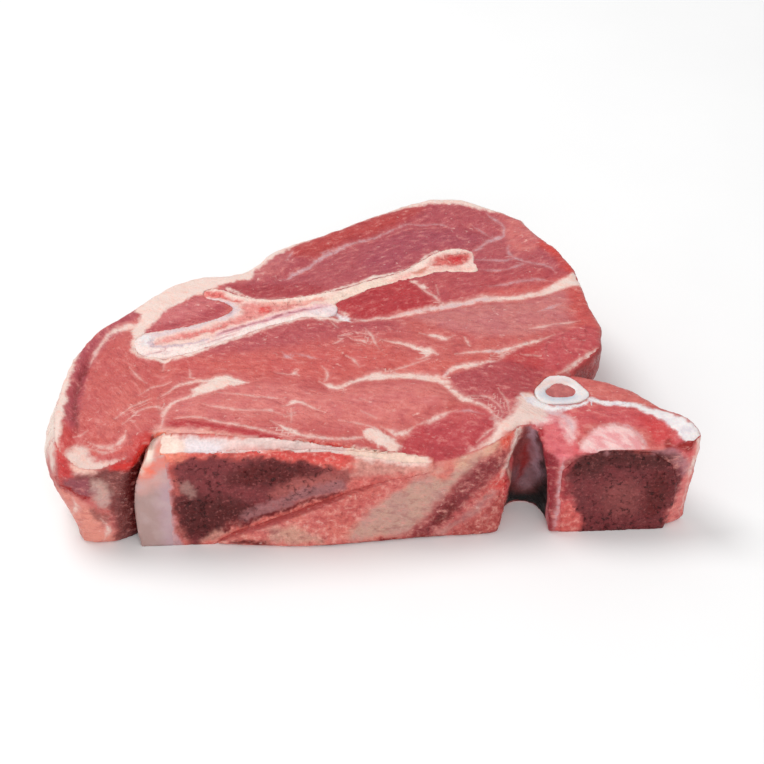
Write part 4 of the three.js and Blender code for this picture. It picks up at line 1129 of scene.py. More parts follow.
class VealMeatSettings(bpy.types.PropertyGroup):
    flesh: colour_property("Flesh", "Colour of the larger muscles", (203, 106, 101))
    fat: colour_property("Fat", "Colour of fat and thick seams", (238, 213, 203))
    membrane: colour_property("Membrane", "Colour of the thin seams", (210, 178, 184))
    # The fold colour is painted crease shade: the dark of the lines along folds and creases.
    fold: colour_property("Fold", "Colour of folds and clefts", (122, 36, 50))
    side: colour_property("Side fat", "Colour of the fat side", (238, 216, 204))
    mesh_size: length_property("Mesh size", "Spacing of the meat's mesh", 1.05)
    seam_depth: length_property("Seam depth", "How far the seams sink between muscles", 0.55)
    fold_depth: length_property("Fold depth", "How far the folds sink", 1.2)
    wobble: length_property("Unevenness", "Height of the cut face's waves", 0.42)


class VealBoneSettings(bpy.types.PropertyGroup):
    cut: colour_property("Cut bone", "Colour of the blade bone's rim", (240, 206, 196))
    sawn: colour_property("Sawn edge", "Colour round the sawn spongy bone", (206, 100, 92))
    gristle: colour_property("Cartilage", "Colour of the cartilage tip", (180, 150, 145))
    rib_wall: colour_property("Rib wall", "Colour of the rib's hard wall", (236, 227, 225))
    marrow: colour_property("Marrow", "Colour of the rib's marrow", (186, 108, 106))
    mesh_size: length_property("Mesh size", "Spacing of the bones' meshes", 0.6)
    overlap: length_property("Overlap", "How far a bone reaches into the meat round it", 0.8)


class VealStageSettings(bpy.types.PropertyGroup):
    floor: colour_property("Floor", "Colour of the floor", (252, 252, 252))
    camera_distance: length_property("Camera distance", "From the slice's middle", 750)
    camera_angle: bpy.props.FloatProperty(
        name="Camera angle", description="Height of the camera above the horizon",
        subtype="ANGLE", unit="ROTATION", default=CAMERA_ANGLE)
    key_power: bpy.props.FloatProperty(
        name="Key light", description="Power of the large lamp", subtype="POWER",
        unit="POWER", default=7.4, min=0.0)
    fill: bpy.props.FloatProperty(
        name="Fill light", description="Strength of the light from all round", default=0.56,
        min=0.0)


# ---- meat

BONES = ("blade_bone", "spine_bone", "cartilage_tip", "vertebra_body", "rib_bone")
SAW_Y, SAW_SLOPE = -75.6, 0.05  # the sawn face's upper edge
SIGHT_SLOPE = math.tan(CAMERA_ANGLE)  # how steeply the camera looks down
FRONT_DEPTH = 16  # mm behind the sawn face that still count as the front
FRONT_WAVE, FRONT_SEED = 1.4, 31  # how the painted borders of the sawn front waver
CLEFT_LEFT, CLEFT_RIGHT = -96, -74
# The canal's lining: the light that reaches it, its middle and right edge in x, its depth, how
# far behind the saw its left and its right wall start, and heights of its left edge with their x.
CANAL_LIGHT = 0.55
CANAL_MIDDLE, CANAL_RIGHT, CANAL_DEPTH = 54, 63, 17
LEFT_WALL_START, RIGHT_WALL_START = -2, 1.5
CANAL_EDGE = ((0, 22, 28, 34, 44), (46.5, 48.3, 47.6, 49, 50.6))
# Ends of the crumbly sawn flesh: the slice's in x, and the block's left end and its top.
CRUMBLY_LEFT, CRUMBLY_RIGHT, CRUMBLY_BLOCK, CRUMBLY_TOP = -73, 47.5, 64, 33


def saw_plane(x):
    """The y of the sawn front at each x."""
    return SAW_Y + SAW_SLOPE * x


def front_place(points):
    """Where points lie on the sawn front in x and z, with the waver of its painted borders."""
    return wavy(points[:, [0, 2]], FRONT_WAVE, FRONT_SEED)


def canal_share(points, directions):
    """1 on the lining of the canal between the slice and the backbone block, else 0."""
    x, y, z = points.T
    deep = y - saw_plane(x) - np.where(x < CANAL_MIDDLE, LEFT_WALL_START, RIGHT_WALL_START)
    edge = x - np.interp(z, *CANAL_EDGE)
    return (smooth(edge, -0.4, 0.8) * smooth(x, CANAL_RIGHT + 1, CANAL_RIGHT - 1)
            * smooth(deep, 0, 2.5) * smooth(deep, CANAL_DEPTH + 1, CANAL_DEPTH - 1)
            * (1 - smooth(np.abs(directions[:, 2]), 0.3, 0.55)))


def front_share(points, directions):
    """1 on the sawn front face and in the canal and cleft, 0 on the others."""
    x, y, _ = points.T
    before = smooth(saw_plane(x) + FRONT_DEPTH - y, 0, 2)
    upward = smooth(directions[:, 2], 0.42, 0.7)
    facing = smooth(-directions[:, 1], 0.1, 0.45)
    cleft = (smooth(x, CLEFT_LEFT, CLEFT_LEFT + 3) * smooth(x, CLEFT_RIGHT, CLEFT_RIGHT - 2)
             * before)
    share = np.maximum(facing * before, cleft) * (1 - upward)
    return np.maximum(share, canal_share(points, directions))


def side_share(points, directions):
    """1 on the uncut outer side of the slice, 0 on the cut faces."""
    x, y, _ = points.T
    steep = 1 - smooth(np.abs(directions[:, 2]), 0.45, 0.75)
    return steep * smooth(y - saw_plane(x), 3, 7)


def marbled_share(plan):
    """How much fat marbles the flesh, from 0 to 1."""
    total = np.zeros(len(plan))
    for x, y, radius, strength in MARBLED:
        total += strength * np.exp(-((plan - (x, y)) ** 2).sum(1) / radius ** 2)
    return np.minimum(total, 1)


def sawn_share(elevation, front, canal):
    """1 where the saw left the front face's flesh crumbly, 0 elsewhere."""
    x, z = elevation.T
    slice_part = (smooth(x, CRUMBLY_LEFT, CRUMBLY_LEFT + 3)
                  * smooth(x, CRUMBLY_RIGHT, CRUMBLY_RIGHT - 2))
    block_part = (0.6 * smooth(x, CRUMBLY_BLOCK, CRUMBLY_BLOCK + 2)
                  * smooth(z, CRUMBLY_TOP, CRUMBLY_TOP - 2))
    sinewy = patches_field(elevation, rows_of(
        FRONT_TINTS, "ligament", "grey strip", "warm upper end of the ligament",
        "pale fat over the ligament"))
    return front * (1 - canal) * np.maximum(slice_part * (0.2 + 0.8 * smooth(sinewy, -1, 2)),
                                            block_part)


def front_colours(elevation, ground):
    """Colours of the sawn front, the same on every piece that shows there."""
    tints = FRONT_TINTS + SPINE_FRONT_TINTS + VERTEBRA_TINTS
    return tinted(elevation, ground, tints, FRONT_LIGHT)


def paint_meat(mesh, settings, points, directions):
    """Keeps on the mesh where its colours, strokes and patches lie; gives back what its
    relief needs."""
    x, y, z = points.T
    plan, elevation = points[:, :2], points[:, [0, 2]]
    front, canal = front_share(points, directions), canal_share(points, directions)
    side = side_share(points, directions) * (1 - front)
    seen = np.column_stack([x, z + SIGHT_SLOPE * (y - saw_plane(x))])
    plain = all_of(settings.flesh, points)
    colours = tinted(wavy(plan, 1.2, 21), plain, PLAN_TINTS)
    laid = front_colours(front_place(points), plain)
    colours = colours + front[:, None] * (laid - colours)
    laid = tinted(wavy(seen, 1.0, 41), plain, CANAL_TINTS, CANAL_LIGHT)
    colours = colours + canal[:, None] * (laid - colours)
    colour_attribute(mesh, "tint", colours)

    on_front, on_side = front > 0.5, side > 0.6

    def mixed(plan_strokes, front_strokes):
        """Strokes of the cut face and of the front; the outer side has none."""
        none = np.array((FAR, 0, FAR))
        across = stroke_field(elevation, front_strokes) if front_strokes else none
        field = np.where(on_front[:, None], across, stroke_field(plan, plan_strokes))
        return np.where(on_side[:, None], none, field)

    cream = mixed(CREAM_STROKES, FRONT_CREAM_STROKES)
    lilac = mixed(LILAC_STROKES, FRONT_LILAC_STROKES)
    attribute(mesh, "cream_strokes", cream)
    attribute(mesh, "lilac_strokes", lilac)
    attribute(mesh, "crease_shade_strokes", mixed(CREASE_SHADE_STROKES, FRONT_CREASE_SHADE_STROKES))
    attribute(mesh, "ligament_strokes", mixed(LIGAMENT_STROKES, None))
    edges = stroke_field(plan, RIM_STROKES + FRINGE_STROKES)
    patch = np.minimum(patches_field(plan, CREAM_PATCHES), edges[:, 2] - edges[:, 1])
    patch = np.where(on_front | on_side, FAR, patch)
    attribute(mesh, "cream_patches", patch)
    attribute(mesh, "soft_patches", patches_field(plan, SOFT_CREAM_PATCHES) + FAR * front)
    attribute(mesh, "pale_patches", patches_field(plan, PINK_WHITE_PATCHES) + FAR * front)
    upper = outline_field(plan, rows_of(PLAN_TINTS, "upper muscle")[0])
    # The right side is bare flesh, without the fat of the others.
    bare = smooth(x, 40, 62) * smooth(y, 58, 40) + smooth(x, 80, 84)
    for name, values in (("side", side), ("canal", canal),
                         ("sawn", sawn_share(elevation, front, canal)),
                         ("marbled", marbled_share(plan) * (1 - front)),
                         ("upper", 1 - smooth(upper, -4, 4)),
                         ("column", smooth(x, -76, -84) * (1 - front)),
                         ("bare_side", np.clip(bare, 0, 1))):
        attribute(mesh, name, values)
    return cream, lilac, patch, front, side


def gap_to_bones(points):
    """How far each point is from the nearest bone, in mm."""
    gaps = np.full(len(points), FAR)
    for node in BONES:
        surface = surface_of(node)
        found = [surface.find_nearest(p, FAR * MM)[3] for p in points]
        gaps = np.minimum(gaps, [FAR if gap is None else gap / MM for gap in found])
    return gaps


# The meat's relief in mm: how far the hollow of a seam and of a fold reaches, how high patches
# of fat stand, and the size of each kind of wave with its height. The settings hold the height
# of the long waves, and the short ones have half of it. All fade out towards the foot.
SEAM_REACH, FOLD_REACH, FAT_RISE = 2.2, 1.5, 0.35
LONG_WAVE, SHORT_WAVE = 9, 3.2
SAWN_WAVE, SAWN_RISE = 1.9, 0.35
SIDE_WAVE, SIDE_RISE = 6, 0.5
STILL_FOOT, FREE_FOOT = 0.4, 3.0


def shape_meat(mesh, settings):
    """Sinks the seams and folds, raises the fat and makes the cut faces uneven."""
    points, directions = coordinates(mesh) / MM, normals(mesh)
    cream, lilac, patch, front, side = paint_meat(mesh, settings, points, directions)
    upward = smooth(directions[:, 2], 0.5, 0.8)
    seam = np.minimum(cream[:, 2] - cream[:, 1] * 0.5, lilac[:, 2] - lilac[:, 1] * 0.5)
    fold = stroke_field(points[:, :2], FOLDS)
    move = -settings.seam_depth / MM * np.exp(-(np.maximum(seam, 0) / SEAM_REACH) ** 2)
    move -= settings.fold_depth / MM * np.exp(-(fold[:, 2] / FOLD_REACH) ** 2)
    move += FAT_RISE * (1 - smooth(patch, -1.6, 0.6))
    move *= upward
    height = settings.wobble / MM
    move += height * waves(points, LONG_WAVE, 1) + 0.5 * height * waves(points, SHORT_WAVE, 2)
    move += front * SAWN_RISE * waves(points, SAWN_WAVE, 3)
    move += side * SIDE_RISE * waves(points, SIDE_WAVE, 4)
    under = smooth(-directions[:, 2], 0.6, 0.9)
    keep = 1 - np.maximum(under, 1 - smooth(points[:, 2], STILL_FOOT, FREE_FOOT))
    points = points + directions * (move * keep)[:, None]
    place(mesh, points * MM)


# Colours that deepen what lies under them.
ROSIER, DEEPER, SHADED = (0.9, 0.78, 0.9, 1), (0.8, 0.64, 0.68, 1), (0.84, 0.7, 0.72, 1)
# Painted shade in the hollows between the sawn crumbs.
CRUMB_HOLLOW_SHADE = (0.66, 0.52, 0.54, 1)
# Colours that the materials mix into the flesh and the fat.
PALE_BLOTCH, PALE_FIBRE, FAT_FLECK = (230, 152, 145), (236, 164, 156), (238, 192, 182)
PALE_CRUMB, FAT_GRAIN, HALO = (240, 174, 160), (252, 238, 232), (231, 158, 150)
SIDE_CLOUD, BARE_SIDE = (232, 200, 187), (168, 76, 76)
PINK_FAT, PINK_MEMBRANE = (242, 192, 178), (222, 168, 166)
PINK_TISSUE, WHITE_TISSUE = (236, 168, 170), (247, 212, 209)
SINEW, SINEW_CLOUD = (240, 232, 231), (220, 210, 216)
# The angles at which fibres run in plan: everywhere, and where a kept share says otherwise.
FIBRE_ANGLE, OWN_ANGLES = -0.16, (("upper", 0.45), ("column", -0.95))


def flowing(tree, where, stretch, *noise_settings):
    """Noise drawn out along the fibres of each muscle."""
    value = grain(tree, along(tree, where, FIBRE_ANGLE, stretch), *noise_settings)
    for name, angle in OWN_ANGLES:
        other = grain(tree, along(tree, where, angle, stretch), *noise_settings)
        value = sums(tree, "MULTIPLY_ADD", kept(tree, name),
                     sums(tree, "SUBTRACT", other, value), value)
    return value


def flesh_colour(tree, where):
    """Cut muscle: rosy clouds, blotches and fibres that follow the muscle, flecks of fat."""
    rosy = spread(tree, grain(tree, where, 8.0, 3.0, 0.6), 0.42, 0.62, 0.0, 0.6)
    colour = over(tree, rosy, kept(tree, "tint", "Color"), ROSIER, "MULTIPLY")
    blotches = flowing(tree, where, 1.9, 2.2, 4.0, 0.6)
    colour = over(tree, spread(tree, blotches, 0.5, 0.34, 0.0, 0.75), colour, DEEPER, "MULTIPLY")
    colour = over(tree, spread(tree, blotches, 0.52, 0.72, 0.0, 0.5), colour, paint(PALE_BLOTCH))
    fibres = flowing(tree, where, 2.1, 0.85, 3.0, 0.6)
    colour = over(tree, spread(tree, fibres, 0.48, 0.3, 0.0, 0.55), colour, SHADED, "MULTIPLY")
    colour = over(tree, spread(tree, fibres, 0.54, 0.76, 0.0, 0.22), colour, paint(PALE_FIBRE))
    flecks = grain(tree, along(tree, where, 0.1, 1.6), 1.7, 3.0, 0.55, 0.8)
    low = sums(tree, "MULTIPLY_ADD", kept(tree, "marbled"), -0.1, 0.64)
    fleck = spread(tree, flecks, low, plus(tree, low, 0.12), 0.0, 0.6)
    colour = over(tree, fleck, colour, paint(FAT_FLECK))
    relief = sums(tree, "MULTIPLY_ADD", blotches, 1.6, fibres)
    return colour, relief


def sawn_flesh(tree, where, colour):
    """Makes flesh granular and crumbly, as the saw leaves it, with painted shade in the hollows between the
    crumbs; gives its crumbs too.
    """
    crumbs = grain(tree, where, 1.9, 5.0, 0.62)
    red = put(tree, "ShaderNodeSeparateColor", {0: colour}).outputs[0]
    bright = times(tree, spread(tree, crumbs, 0.48, 0.72, 0.0, 0.9), red)
    colour = over(tree, bright, colour, paint(PALE_CRUMB, FRONT_LIGHT))
    # The crumbs' hollows, low in the relief, are darkened: painted shade.
    hollow_shade = spread(tree, crumbs, 0.48, 0.28, 0.0, 0.9)
    return over(tree, hollow_shade, colour, CRUMB_HOLLOW_SHADE, "MULTIPLY"), crumbs


def fat_colour(tree, where, base, pink):
    """Fat with pinker clouds and a pale grain."""
    cloud = grain(tree, along(tree, where, -0.3, 1.8), 2.6, 4.0, 0.6)
    colour = over(tree, spread(tree, cloud, 0.46, 0.72, 0.0, 0.75), base, pink)
    fine = grain(tree, where, 1.1, 2.0, 0.6)
    return over(tree, spread(tree, fine, 0.5, 0.74, 0.0, 0.25), colour, paint(FAT_GRAIN))


def side_colour(tree, where, settings):
    """The uncut sides: fat with darker clouds, or bare flesh."""
    clouds = spread(tree, grain(tree, where, 9.0, 3.0), 0.5, 0.66)
    skin = over(tree, clouds, (*settings.side, 1.0), paint(SIDE_CLOUD))
    skin = mottled(tree, skin, where, 5.0, 1.0, 0.1)["Colour"]
    bare = mottled(tree, paint(BARE_SIDE), where, 5.0, 0.9, 0.4)["Colour"]
    return over(tree, kept(tree, "bare_side"), skin, bare)


def laid(tree, colour, mask, share, top):
    """The top colour over the other, where the mask is and only by a share."""
    return over(tree, times(tree, mask, share), colour, top)


def seams_and_fat(tree, where, colour, settings):
    """Lays the folds' painted crease shade, fat, membranes and the ligament over the flesh; gives also where
    it's pale.
    """
    fat = fat_colour(tree, where, (*settings.fat, 1.0), paint(PINK_FAT))
    membrane = fat_colour(tree, where, (*settings.membrane, 1.0), paint(PINK_MEMBRANE))
    halo = paint(HALO)
    # Folds and creases darkened with the fold colour: painted crease shade.
    dark, _ = stroke_masks(tree, "crease_shade_strokes", where, 0.4, 1.0)
    colour = laid(tree, colour, dark, 0.8, (*settings.fold, 1.0))
    pale = patch_mask(tree, "pale_patches", where, 4.0, 1.5)
    pale_cloud = spread(tree, grain(tree, along(tree, where, -0.5, 2.2), 2.8, 3.0), 0.36, 0.62)
    tissue = over(tree, pale_cloud, paint(PINK_TISSUE), paint(WHITE_TISSUE))
    colour = laid(tree, colour, pale, 0.9, tissue)
    soft_fat = patch_mask(tree, "soft_patches", where, 4.6, 1.7)
    colour = laid(tree, colour, soft_fat, 0.9, fat)
    patch_halo = patch_mask(tree, "cream_patches", where, 4.0, 2.2)
    colour = laid(tree, colour, patch_halo, 0.4, halo)
    cream, cream_halo = stroke_masks(tree, "cream_strokes", where, 0.45, 0.7)
    colour = laid(tree, colour, cream_halo, 0.42, halo)
    colour = laid(tree, colour, cream, 0.9, fat)
    lilac, lilac_halo = stroke_masks(tree, "lilac_strokes", where, 0.5, 0.8)
    colour = laid(tree, colour, lilac_halo, 0.2, halo)
    colour = laid(tree, colour, lilac, 0.72, membrane)
    patches = patch_mask(tree, "cream_patches", where, 4.2, 1.0)
    colour = laid(tree, colour, patches, 0.97, fat)
    ligament, _ = stroke_masks(tree, "ligament_strokes", where, 0.15, 0.6)
    sinew = over(tree, spread(tree, grain(tree, where, 4.0, 3.0), 0.42, 0.7),
                 paint(SINEW), paint(SINEW_CLOUD))
    colour = over(tree, ligament, colour, sinew)
    pale_share = sums(tree, "MAXIMUM", sums(tree, "MAXIMUM", patches, soft_fat),
                      sums(tree, "MAXIMUM", cream, ligament))
    return colour, pale_share


def meat_material(settings):
    """Flesh, its sawn, lining and outer parts, and the fat and seams over them."""
    material, tree, shader = new_material("veal flesh and fat")
    where = own_place(tree)
    side, canal = kept(tree, "side"), kept(tree, "canal")
    colour, relief = flesh_colour(tree, where)
    sawn, crumbs = sawn_flesh(tree, where, colour)
    colour = over(tree, kept(tree, "sawn"), colour, sawn)
    lining = mottled(tree, kept(tree, "tint", "Color"), where, 3.0, 0.9, 0.25)["Colour"]
    colour = over(tree, canal, colour, lining)
    colour = over(tree, side, colour, side_colour(tree, where, settings))
    colour, pale_share = seams_and_fat(tree, where, colour, settings)

    wet = spread(tree, grain(tree, where, 4.0, 3.0), 0.36, 0.64, 0.26, 0.46)
    roughness = sums(tree, "MULTIPLY_ADD", pale_share, 0.06, wet)
    roughness = sums(tree, "MULTIPLY_ADD", canal, 0.2, roughness)
    fine = grain(tree, where, 0.6, 3.0, 0.6)
    height = sums(tree, "MULTIPLY_ADD", fine, 0.5, times(tree, relief, 0.8))
    height = sums(tree, "MULTIPLY_ADD", pale_share, 0.3, height)
    height = sums(tree, "MULTIPLY_ADD", times(tree, kept(tree, "sawn"), crumbs), 1.8, height)
    finish_shader(tree, shader, colour, roughness, height, 0.42, 0.14, 1.4)
    return material


class VEAL_OT_meat(bpy.types.Operator):
    """Builds the meat with its fat, seams and membranes"""

    bl_idname = "veal.meat"
    bl_label = "Meat"

    def execute(self, context):
        settings = context.scene.veal_meat
        piece = even_copy("meat", "veal", settings.mesh_size / MM)
        mesh = piece.data
        points = coordinates(mesh)
        # It is evened out less near the bones, so that the walls round them stay in place.
        share = 0.5 - 0.4 * smooth(gap_to_bones(points), 1.7, 0.7)
        place(mesh, settle(mesh, points, share[:, None], 2))
        shape_meat(mesh, settings)
        mesh.materials.append(meat_material(settings))
        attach(piece, "root")
        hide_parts("veal")
        return {"FINISHED"}


# ---- bones


# Shares of the overlap: how far the upper face of a cut and of a sawn bone is lowered, how far
# a sawn one reaches sideways and down, and how far its lower edge slopes back into the meat.
SINK, SAWN_SINK = 0.3, 0.8
SAWN_REACH, FOOT_REACH, FOOT_SLOPE = 1.8, 2.7, 1.3
# Relief in mm: how deep and wide the blade bone's red lines sink and how deep its inside does,
# and how far the cartilage's upper left end is lowered.
LINE_DEPTH, LINE_REACH, INSIDE_DEPTH, CARTILAGE_DROP = 0.3, 0.8, 0.25, 2.4
# Colours that deepen what lies under them, and others that the materials mix in.
PINK_PORES, SAWN_TISSUE = (0.86, 0.56, 0.56, 1), (0.9, 0.8, 0.84, 1)
SAW_MARKS, DARK_PORES = (0.72, 0.62, 0.64, 1), (0.3, 0.24, 0.26, 1)
BLADE_NET, BLADE_CLOUD = (246, 196, 184), (240, 184, 174)
RED_LINE, RED_LINE_HALO, SAWN_NET = (160, 70, 84), (224, 170, 178), (164, 98, 96)
CARTILAGE_CLOUD, RIB_CLOUD, MARROW_CLOUD = (184, 160, 160), (218, 210, 214), (206, 130, 124)


def grown_copy(name, node, settings, sawn=False, buried=False, share=1.0):
    """An even copy of a bone that reaches a little into the meat round it. Only a buried
    one grows upwards too."""
    piece = even_copy(name, node, settings.mesh_size / MM)
    mesh = piece.data
    points = coordinates(mesh)
    if not sawn:
        points = settle(mesh, points, 0.4, 1)
        place(mesh, points)
    outward = normals(mesh) * share
    top, low = smooth(outward[:, 2], 0.6, 0.9), np.maximum(-outward[:, 2], 0)
    if sawn:
        raised = smooth(points[:, 2] / MM, 0.5, 2)
        outward[:, 0] *= SAWN_REACH
        outward[:, 1] = np.maximum(outward[:, 1], 0) + FOOT_SLOPE * low * raised
        outward[:, 2] = np.maximum(outward[:, 2], 0) * SAWN_REACH * buried - FOOT_REACH * low
    else:
        outward[:, 2] = 0
    if not buried:
        outward[:, 2] -= top * (SAWN_SINK if sawn else SINK)
    points = points + outward * settings.overlap
    points[:, 2] = np.maximum(points[:, 2], 0)
    place(mesh, points)
    return piece, mesh


def seat(piece, node, material):
    """Gives a bone its material, and the frame its place in it."""
    piece.data.materials.append(material)
    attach(piece, "root")
    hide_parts(node)


def pitted(mesh, facing, depth, size, seed):
    """Sinks small pits into the part of a sawn or cut face that facing marks, in mm."""
    points = coordinates(mesh) / MM
    pits = np.minimum(waves(points, size, seed, 1), 0)
    place(mesh, (points + normals(mesh) * (depth * pits * facing)[:, None]) * MM)


def keep_tint(mesh, places, base, *how):
    """Keeps a base colour with the tints over it on the mesh."""
    colour_attribute(mesh, "tint", tinted(places, all_of(base, places), *how))


def blade_material():
    """Cut bone in its kept tint, porous inside, with its red lines."""
    material, tree, shader = new_material("cut blade bone")
    where = own_place(tree)
    inner = kept(tree, "inside")
    base = mottled(tree, kept(tree, "tint", "Color"), where, 3.0, 0.9, 0.16)
    pores = use(tree, "Spongy bone", {"Place": where, "Pore size": 1.1})

    def inside(name, share):
        return times(tree, times(tree, pores[name], inner), share)

    colour = over(tree, inside("Pores", 0.7), base["Colour"], PINK_PORES, "MULTIPLY")
    colour = over(tree, inside("Net", 0.5), colour, paint(BLADE_NET))
    cloud = spread(tree, grain(tree, where, 2.4, 4.0, 0.62), 0.54, 0.7, 0.0, 0.4)
    colour = over(tree, cloud, colour, paint(BLADE_CLOUD))
    red, red_halo = stroke_masks(tree, "red_lines", where, 0.7, 0.5)
    colour = laid(tree, colour, red_halo, 0.4, paint(RED_LINE_HALO))
    colour = laid(tree, colour, red, 0.9, paint(RED_LINE))
    wet = spread(tree, grain(tree, where, 4.0), 0.35, 0.65, 0.3, 0.48)
    height = sums(tree, "SUBTRACT", times(tree, base["Grain"], 1.4), inside("Pores", 1.0))
    finish_shader(tree, shader, colour, wet, height, 0.35, 0.12, 1.2)
    return material


class VEAL_OT_blade(bpy.types.Operator):
    """Builds the cut blade bone with its fork and knob"""

    bl_idname = "veal.blade"
    bl_label = "Blade bone"

    def execute(self, context):
        settings = context.scene.veal_bones
        piece, mesh = grown_copy("blade", "blade_bone", settings, share=1.3)
        plan = coordinates(mesh)[:, :2] / MM
        keep_tint(mesh, wavy(plan, 1.3, 51), settings.cut, BLADE_TINTS)
        red = stroke_field(plan, BLADE_RED_LINES)
        attribute(mesh, "red_lines", red)
        spongy = rows_of(BLADE_TINTS, "salmon inside of the bar", "knob", "prong",
                         "pink of the upper band")
        inside = 1 - smooth(patches_field(plan, spongy), -1, 1)
        attribute(mesh, "inside", inside)
        upward = smooth(normals(mesh)[:, 2], 0.5, 0.9)
        pitted(mesh, inside * upward, depth=0.5, size=1.7, seed=5)
        pitted(mesh, upward, depth=0.5, size=3.2, seed=6)
        groove = np.exp(-(red[:, 2] / LINE_REACH) ** 2) * upward
        points = coordinates(mesh) / MM
        points[:, 2] -= LINE_DEPTH * groove + INSIDE_DEPTH * inside * upward
        place(mesh, points * MM)
        seat(piece, "blade_bone", blade_material())
        return {"FINISHED"}


def sponge_material(name, size):
    """Sawn spongy bone inside its kept outline, and tinted tissue outside it."""
    material, tree, shader = new_material(name)
    where = own_place(tree)
    spongy = patch_mask(tree, "spongy", where, 8.0, 0.9)
    pores = use(tree, "Spongy bone", {"Place": where, "Pore size": size})
    tissue = mottled(tree, kept(tree, "tint", "Color"), where, 3.4, 0.9, 0.24)
    crumbly, crumbs = sawn_flesh(tree, where, tissue["Colour"])
    crumbly = over(tree, 0.85, crumbly, SAWN_TISSUE, "MULTIPLY")
    loose = over(tree, kept(tree, "crumbly"), tissue["Colour"], crumbly)
    colour = over(tree, times(tree, pores["Marks"], 0.6), tissue["Colour"], SAW_MARKS, "MULTIPLY")
    colour = over(tree, times(tree, pores["Pores"], 0.85), colour, DARK_PORES, "MULTIPLY")
    colour = laid(tree, colour, pores["Net"], 0.55, paint(SAWN_NET, FRONT_LIGHT))
    colour = over(tree, spongy, loose, colour)
    wet = spread(tree, grain(tree, where, 3.0), 0.35, 0.65, 0.36, 0.55)
    height = sums(tree, "MULTIPLY_ADD", pores["Pores"], times(tree, spongy, -1.2), crumbs)
    finish_shader(tree, shader, colour, wet, height, 0.4, 0.08, 1.0)
    return material


class VEAL_OT_backbone(bpy.types.Operator):
    """Builds the sawn spine and body of the vertebra"""

    bl_idname = "veal.backbone"
    bl_label = "Sawn backbone"

    def execute(self, context):
        settings = context.scene.veal_bones
        for name, node, front_tints, pore_size in (
                ("spine", "spine_bone", SPINE_FRONT_TINTS, 1.3),
                ("vertebra", "vertebra_body", VERTEBRA_TINTS, 1.1)):
            spine = name == "spine"
            piece, mesh = grown_copy(name, node, settings, sawn=True, buried=not spine)
            points, directions = coordinates(mesh) / MM, normals(mesh)
            elevation = front_place(points)
            upward = smooth(directions[:, 2], 0.4, 0.7)
            base = all_of(settings.sawn, points)
            tint = front_colours(elevation, base)
            spongy = outline_field(elevation, rows_of(front_tints, "spongy bone")[0])
            facing = smooth(-directions[:, 1], 0.5, 0.9)
            if spine:
                on_top = tinted(wavy(points[:, :2], 1.3, 71), base, SPINE_TOP_TINTS)
                tint = tint + upward[:, None] * (on_top - tint)
                spongy = spongy + FAR * upward
            colour_attribute(mesh, "tint", tint)
            attribute(mesh, "spongy", spongy)
            beside_cartilage = smooth(points[:, 0], -70.5, -72.5)
            attribute(mesh, "crumbly", (1 - upward) * (1 - beside_cartilage))
            pitted(mesh, facing * (1 - smooth(spongy, -1, 1)), depth=0.8, size=1.6, seed=7)
            pitted(mesh, np.maximum(facing, upward), depth=0.5, size=3.4, seed=8)
            seat(piece, node, sponge_material("sawn " + name, pore_size))
        return {"FINISHED"}


def smooth_bone_material(name, shade, cloud, wet, relief, deep, strength=0.1):
    """A moist, even surface in its kept tint, with clouds of a second colour. Cloud is their
    size, relief the grain's height and deep how far light goes in, all in mm; wet is the
    lowest roughness."""
    material, tree, shader = new_material(name)
    where = own_place(tree)
    clouds = spread(tree, grain(tree, where, cloud), 0.44, 0.68, 0.0, 0.45)
    tint = over(tree, clouds, kept(tree, "tint", "Color"), shade)
    tone = mottled(tree, tint, where, 4.0, 0.8, strength)
    roughness = spread(tree, grain(tree, where, 3.0), 0.35, 0.65, wet, wet + 0.14)
    finish_shader(tree, shader, tone["Colour"], roughness, tone["Grain"], relief, 0.2, deep)
    return material


class VEAL_OT_cartilage(bpy.types.Operator):
    """Builds the cartilage tip of the spine"""

    bl_idname = "veal.cartilage"
    bl_label = "Cartilage tip"

    def execute(self, context):
        settings = context.scene.veal_bones
        piece, mesh = grown_copy("cartilage", "cartilage_tip", settings, sawn=True)
        points = coordinates(mesh) / MM
        to_left, to_top = smooth(points[:, 0], -70, -79), smooth(points[:, 2], 26, 42)
        points[:, 2] -= CARTILAGE_DROP * to_left * to_top
        place(mesh, points * MM)
        keep_tint(mesh, front_place(points), settings.gristle, CARTILAGE_TINTS, FRONT_LIGHT)
        seat(piece, "cartilage_tip", smooth_bone_material(
            "moist cartilage", paint(CARTILAGE_CLOUD, FRONT_LIGHT), cloud=7.0, wet=0.28,
            relief=0.12, deep=2.2, strength=0.05))
        return {"FINISHED"}


class VEAL_OT_rib(bpy.types.Operator):
    """Builds the rib's wall and its marrow"""

    bl_idname = "veal.rib"
    bl_label = "Rib and marrow"

    def execute(self, context):
        settings = context.scene.veal_bones
        wall, mesh = grown_copy("rib", "rib_bone", settings, share=0.6)
        keep_tint(mesh, coordinates(mesh)[:, :2] / MM, settings.rib_wall, RIB_TINTS)
        seat(wall, "rib_bone", smooth_bone_material(
            "rib wall", paint(RIB_CLOUD), cloud=3.0, wet=0.3, relief=0.16, deep=1.6))
        core, mesh = grown_copy("marrow", "rib_marrow", settings)
        keep_tint(mesh, coordinates(mesh)[:, :2] / MM, settings.marrow, MARROW_TINTS)
        pitted(mesh, smooth(normals(mesh)[:, 2], 0.5, 0.9), depth=0.5, size=2.0, seed=9)
        seat(core, "rib_marrow", smooth_bone_material(
            "marrow", paint(MARROW_CLOUD), cloud=2.0, wet=0.34, relief=0.16, deep=1.6,
            strength=0.25))
        return {"FINISHED"}


# ---- stage


# In metres: half the floor's width, and how far it lies under the slice against shimmer.
FLOOR_HALF, FLOOR_DROP = 3.0, 0.00005
FLOOR_CLOUD = (248, 248, 248)
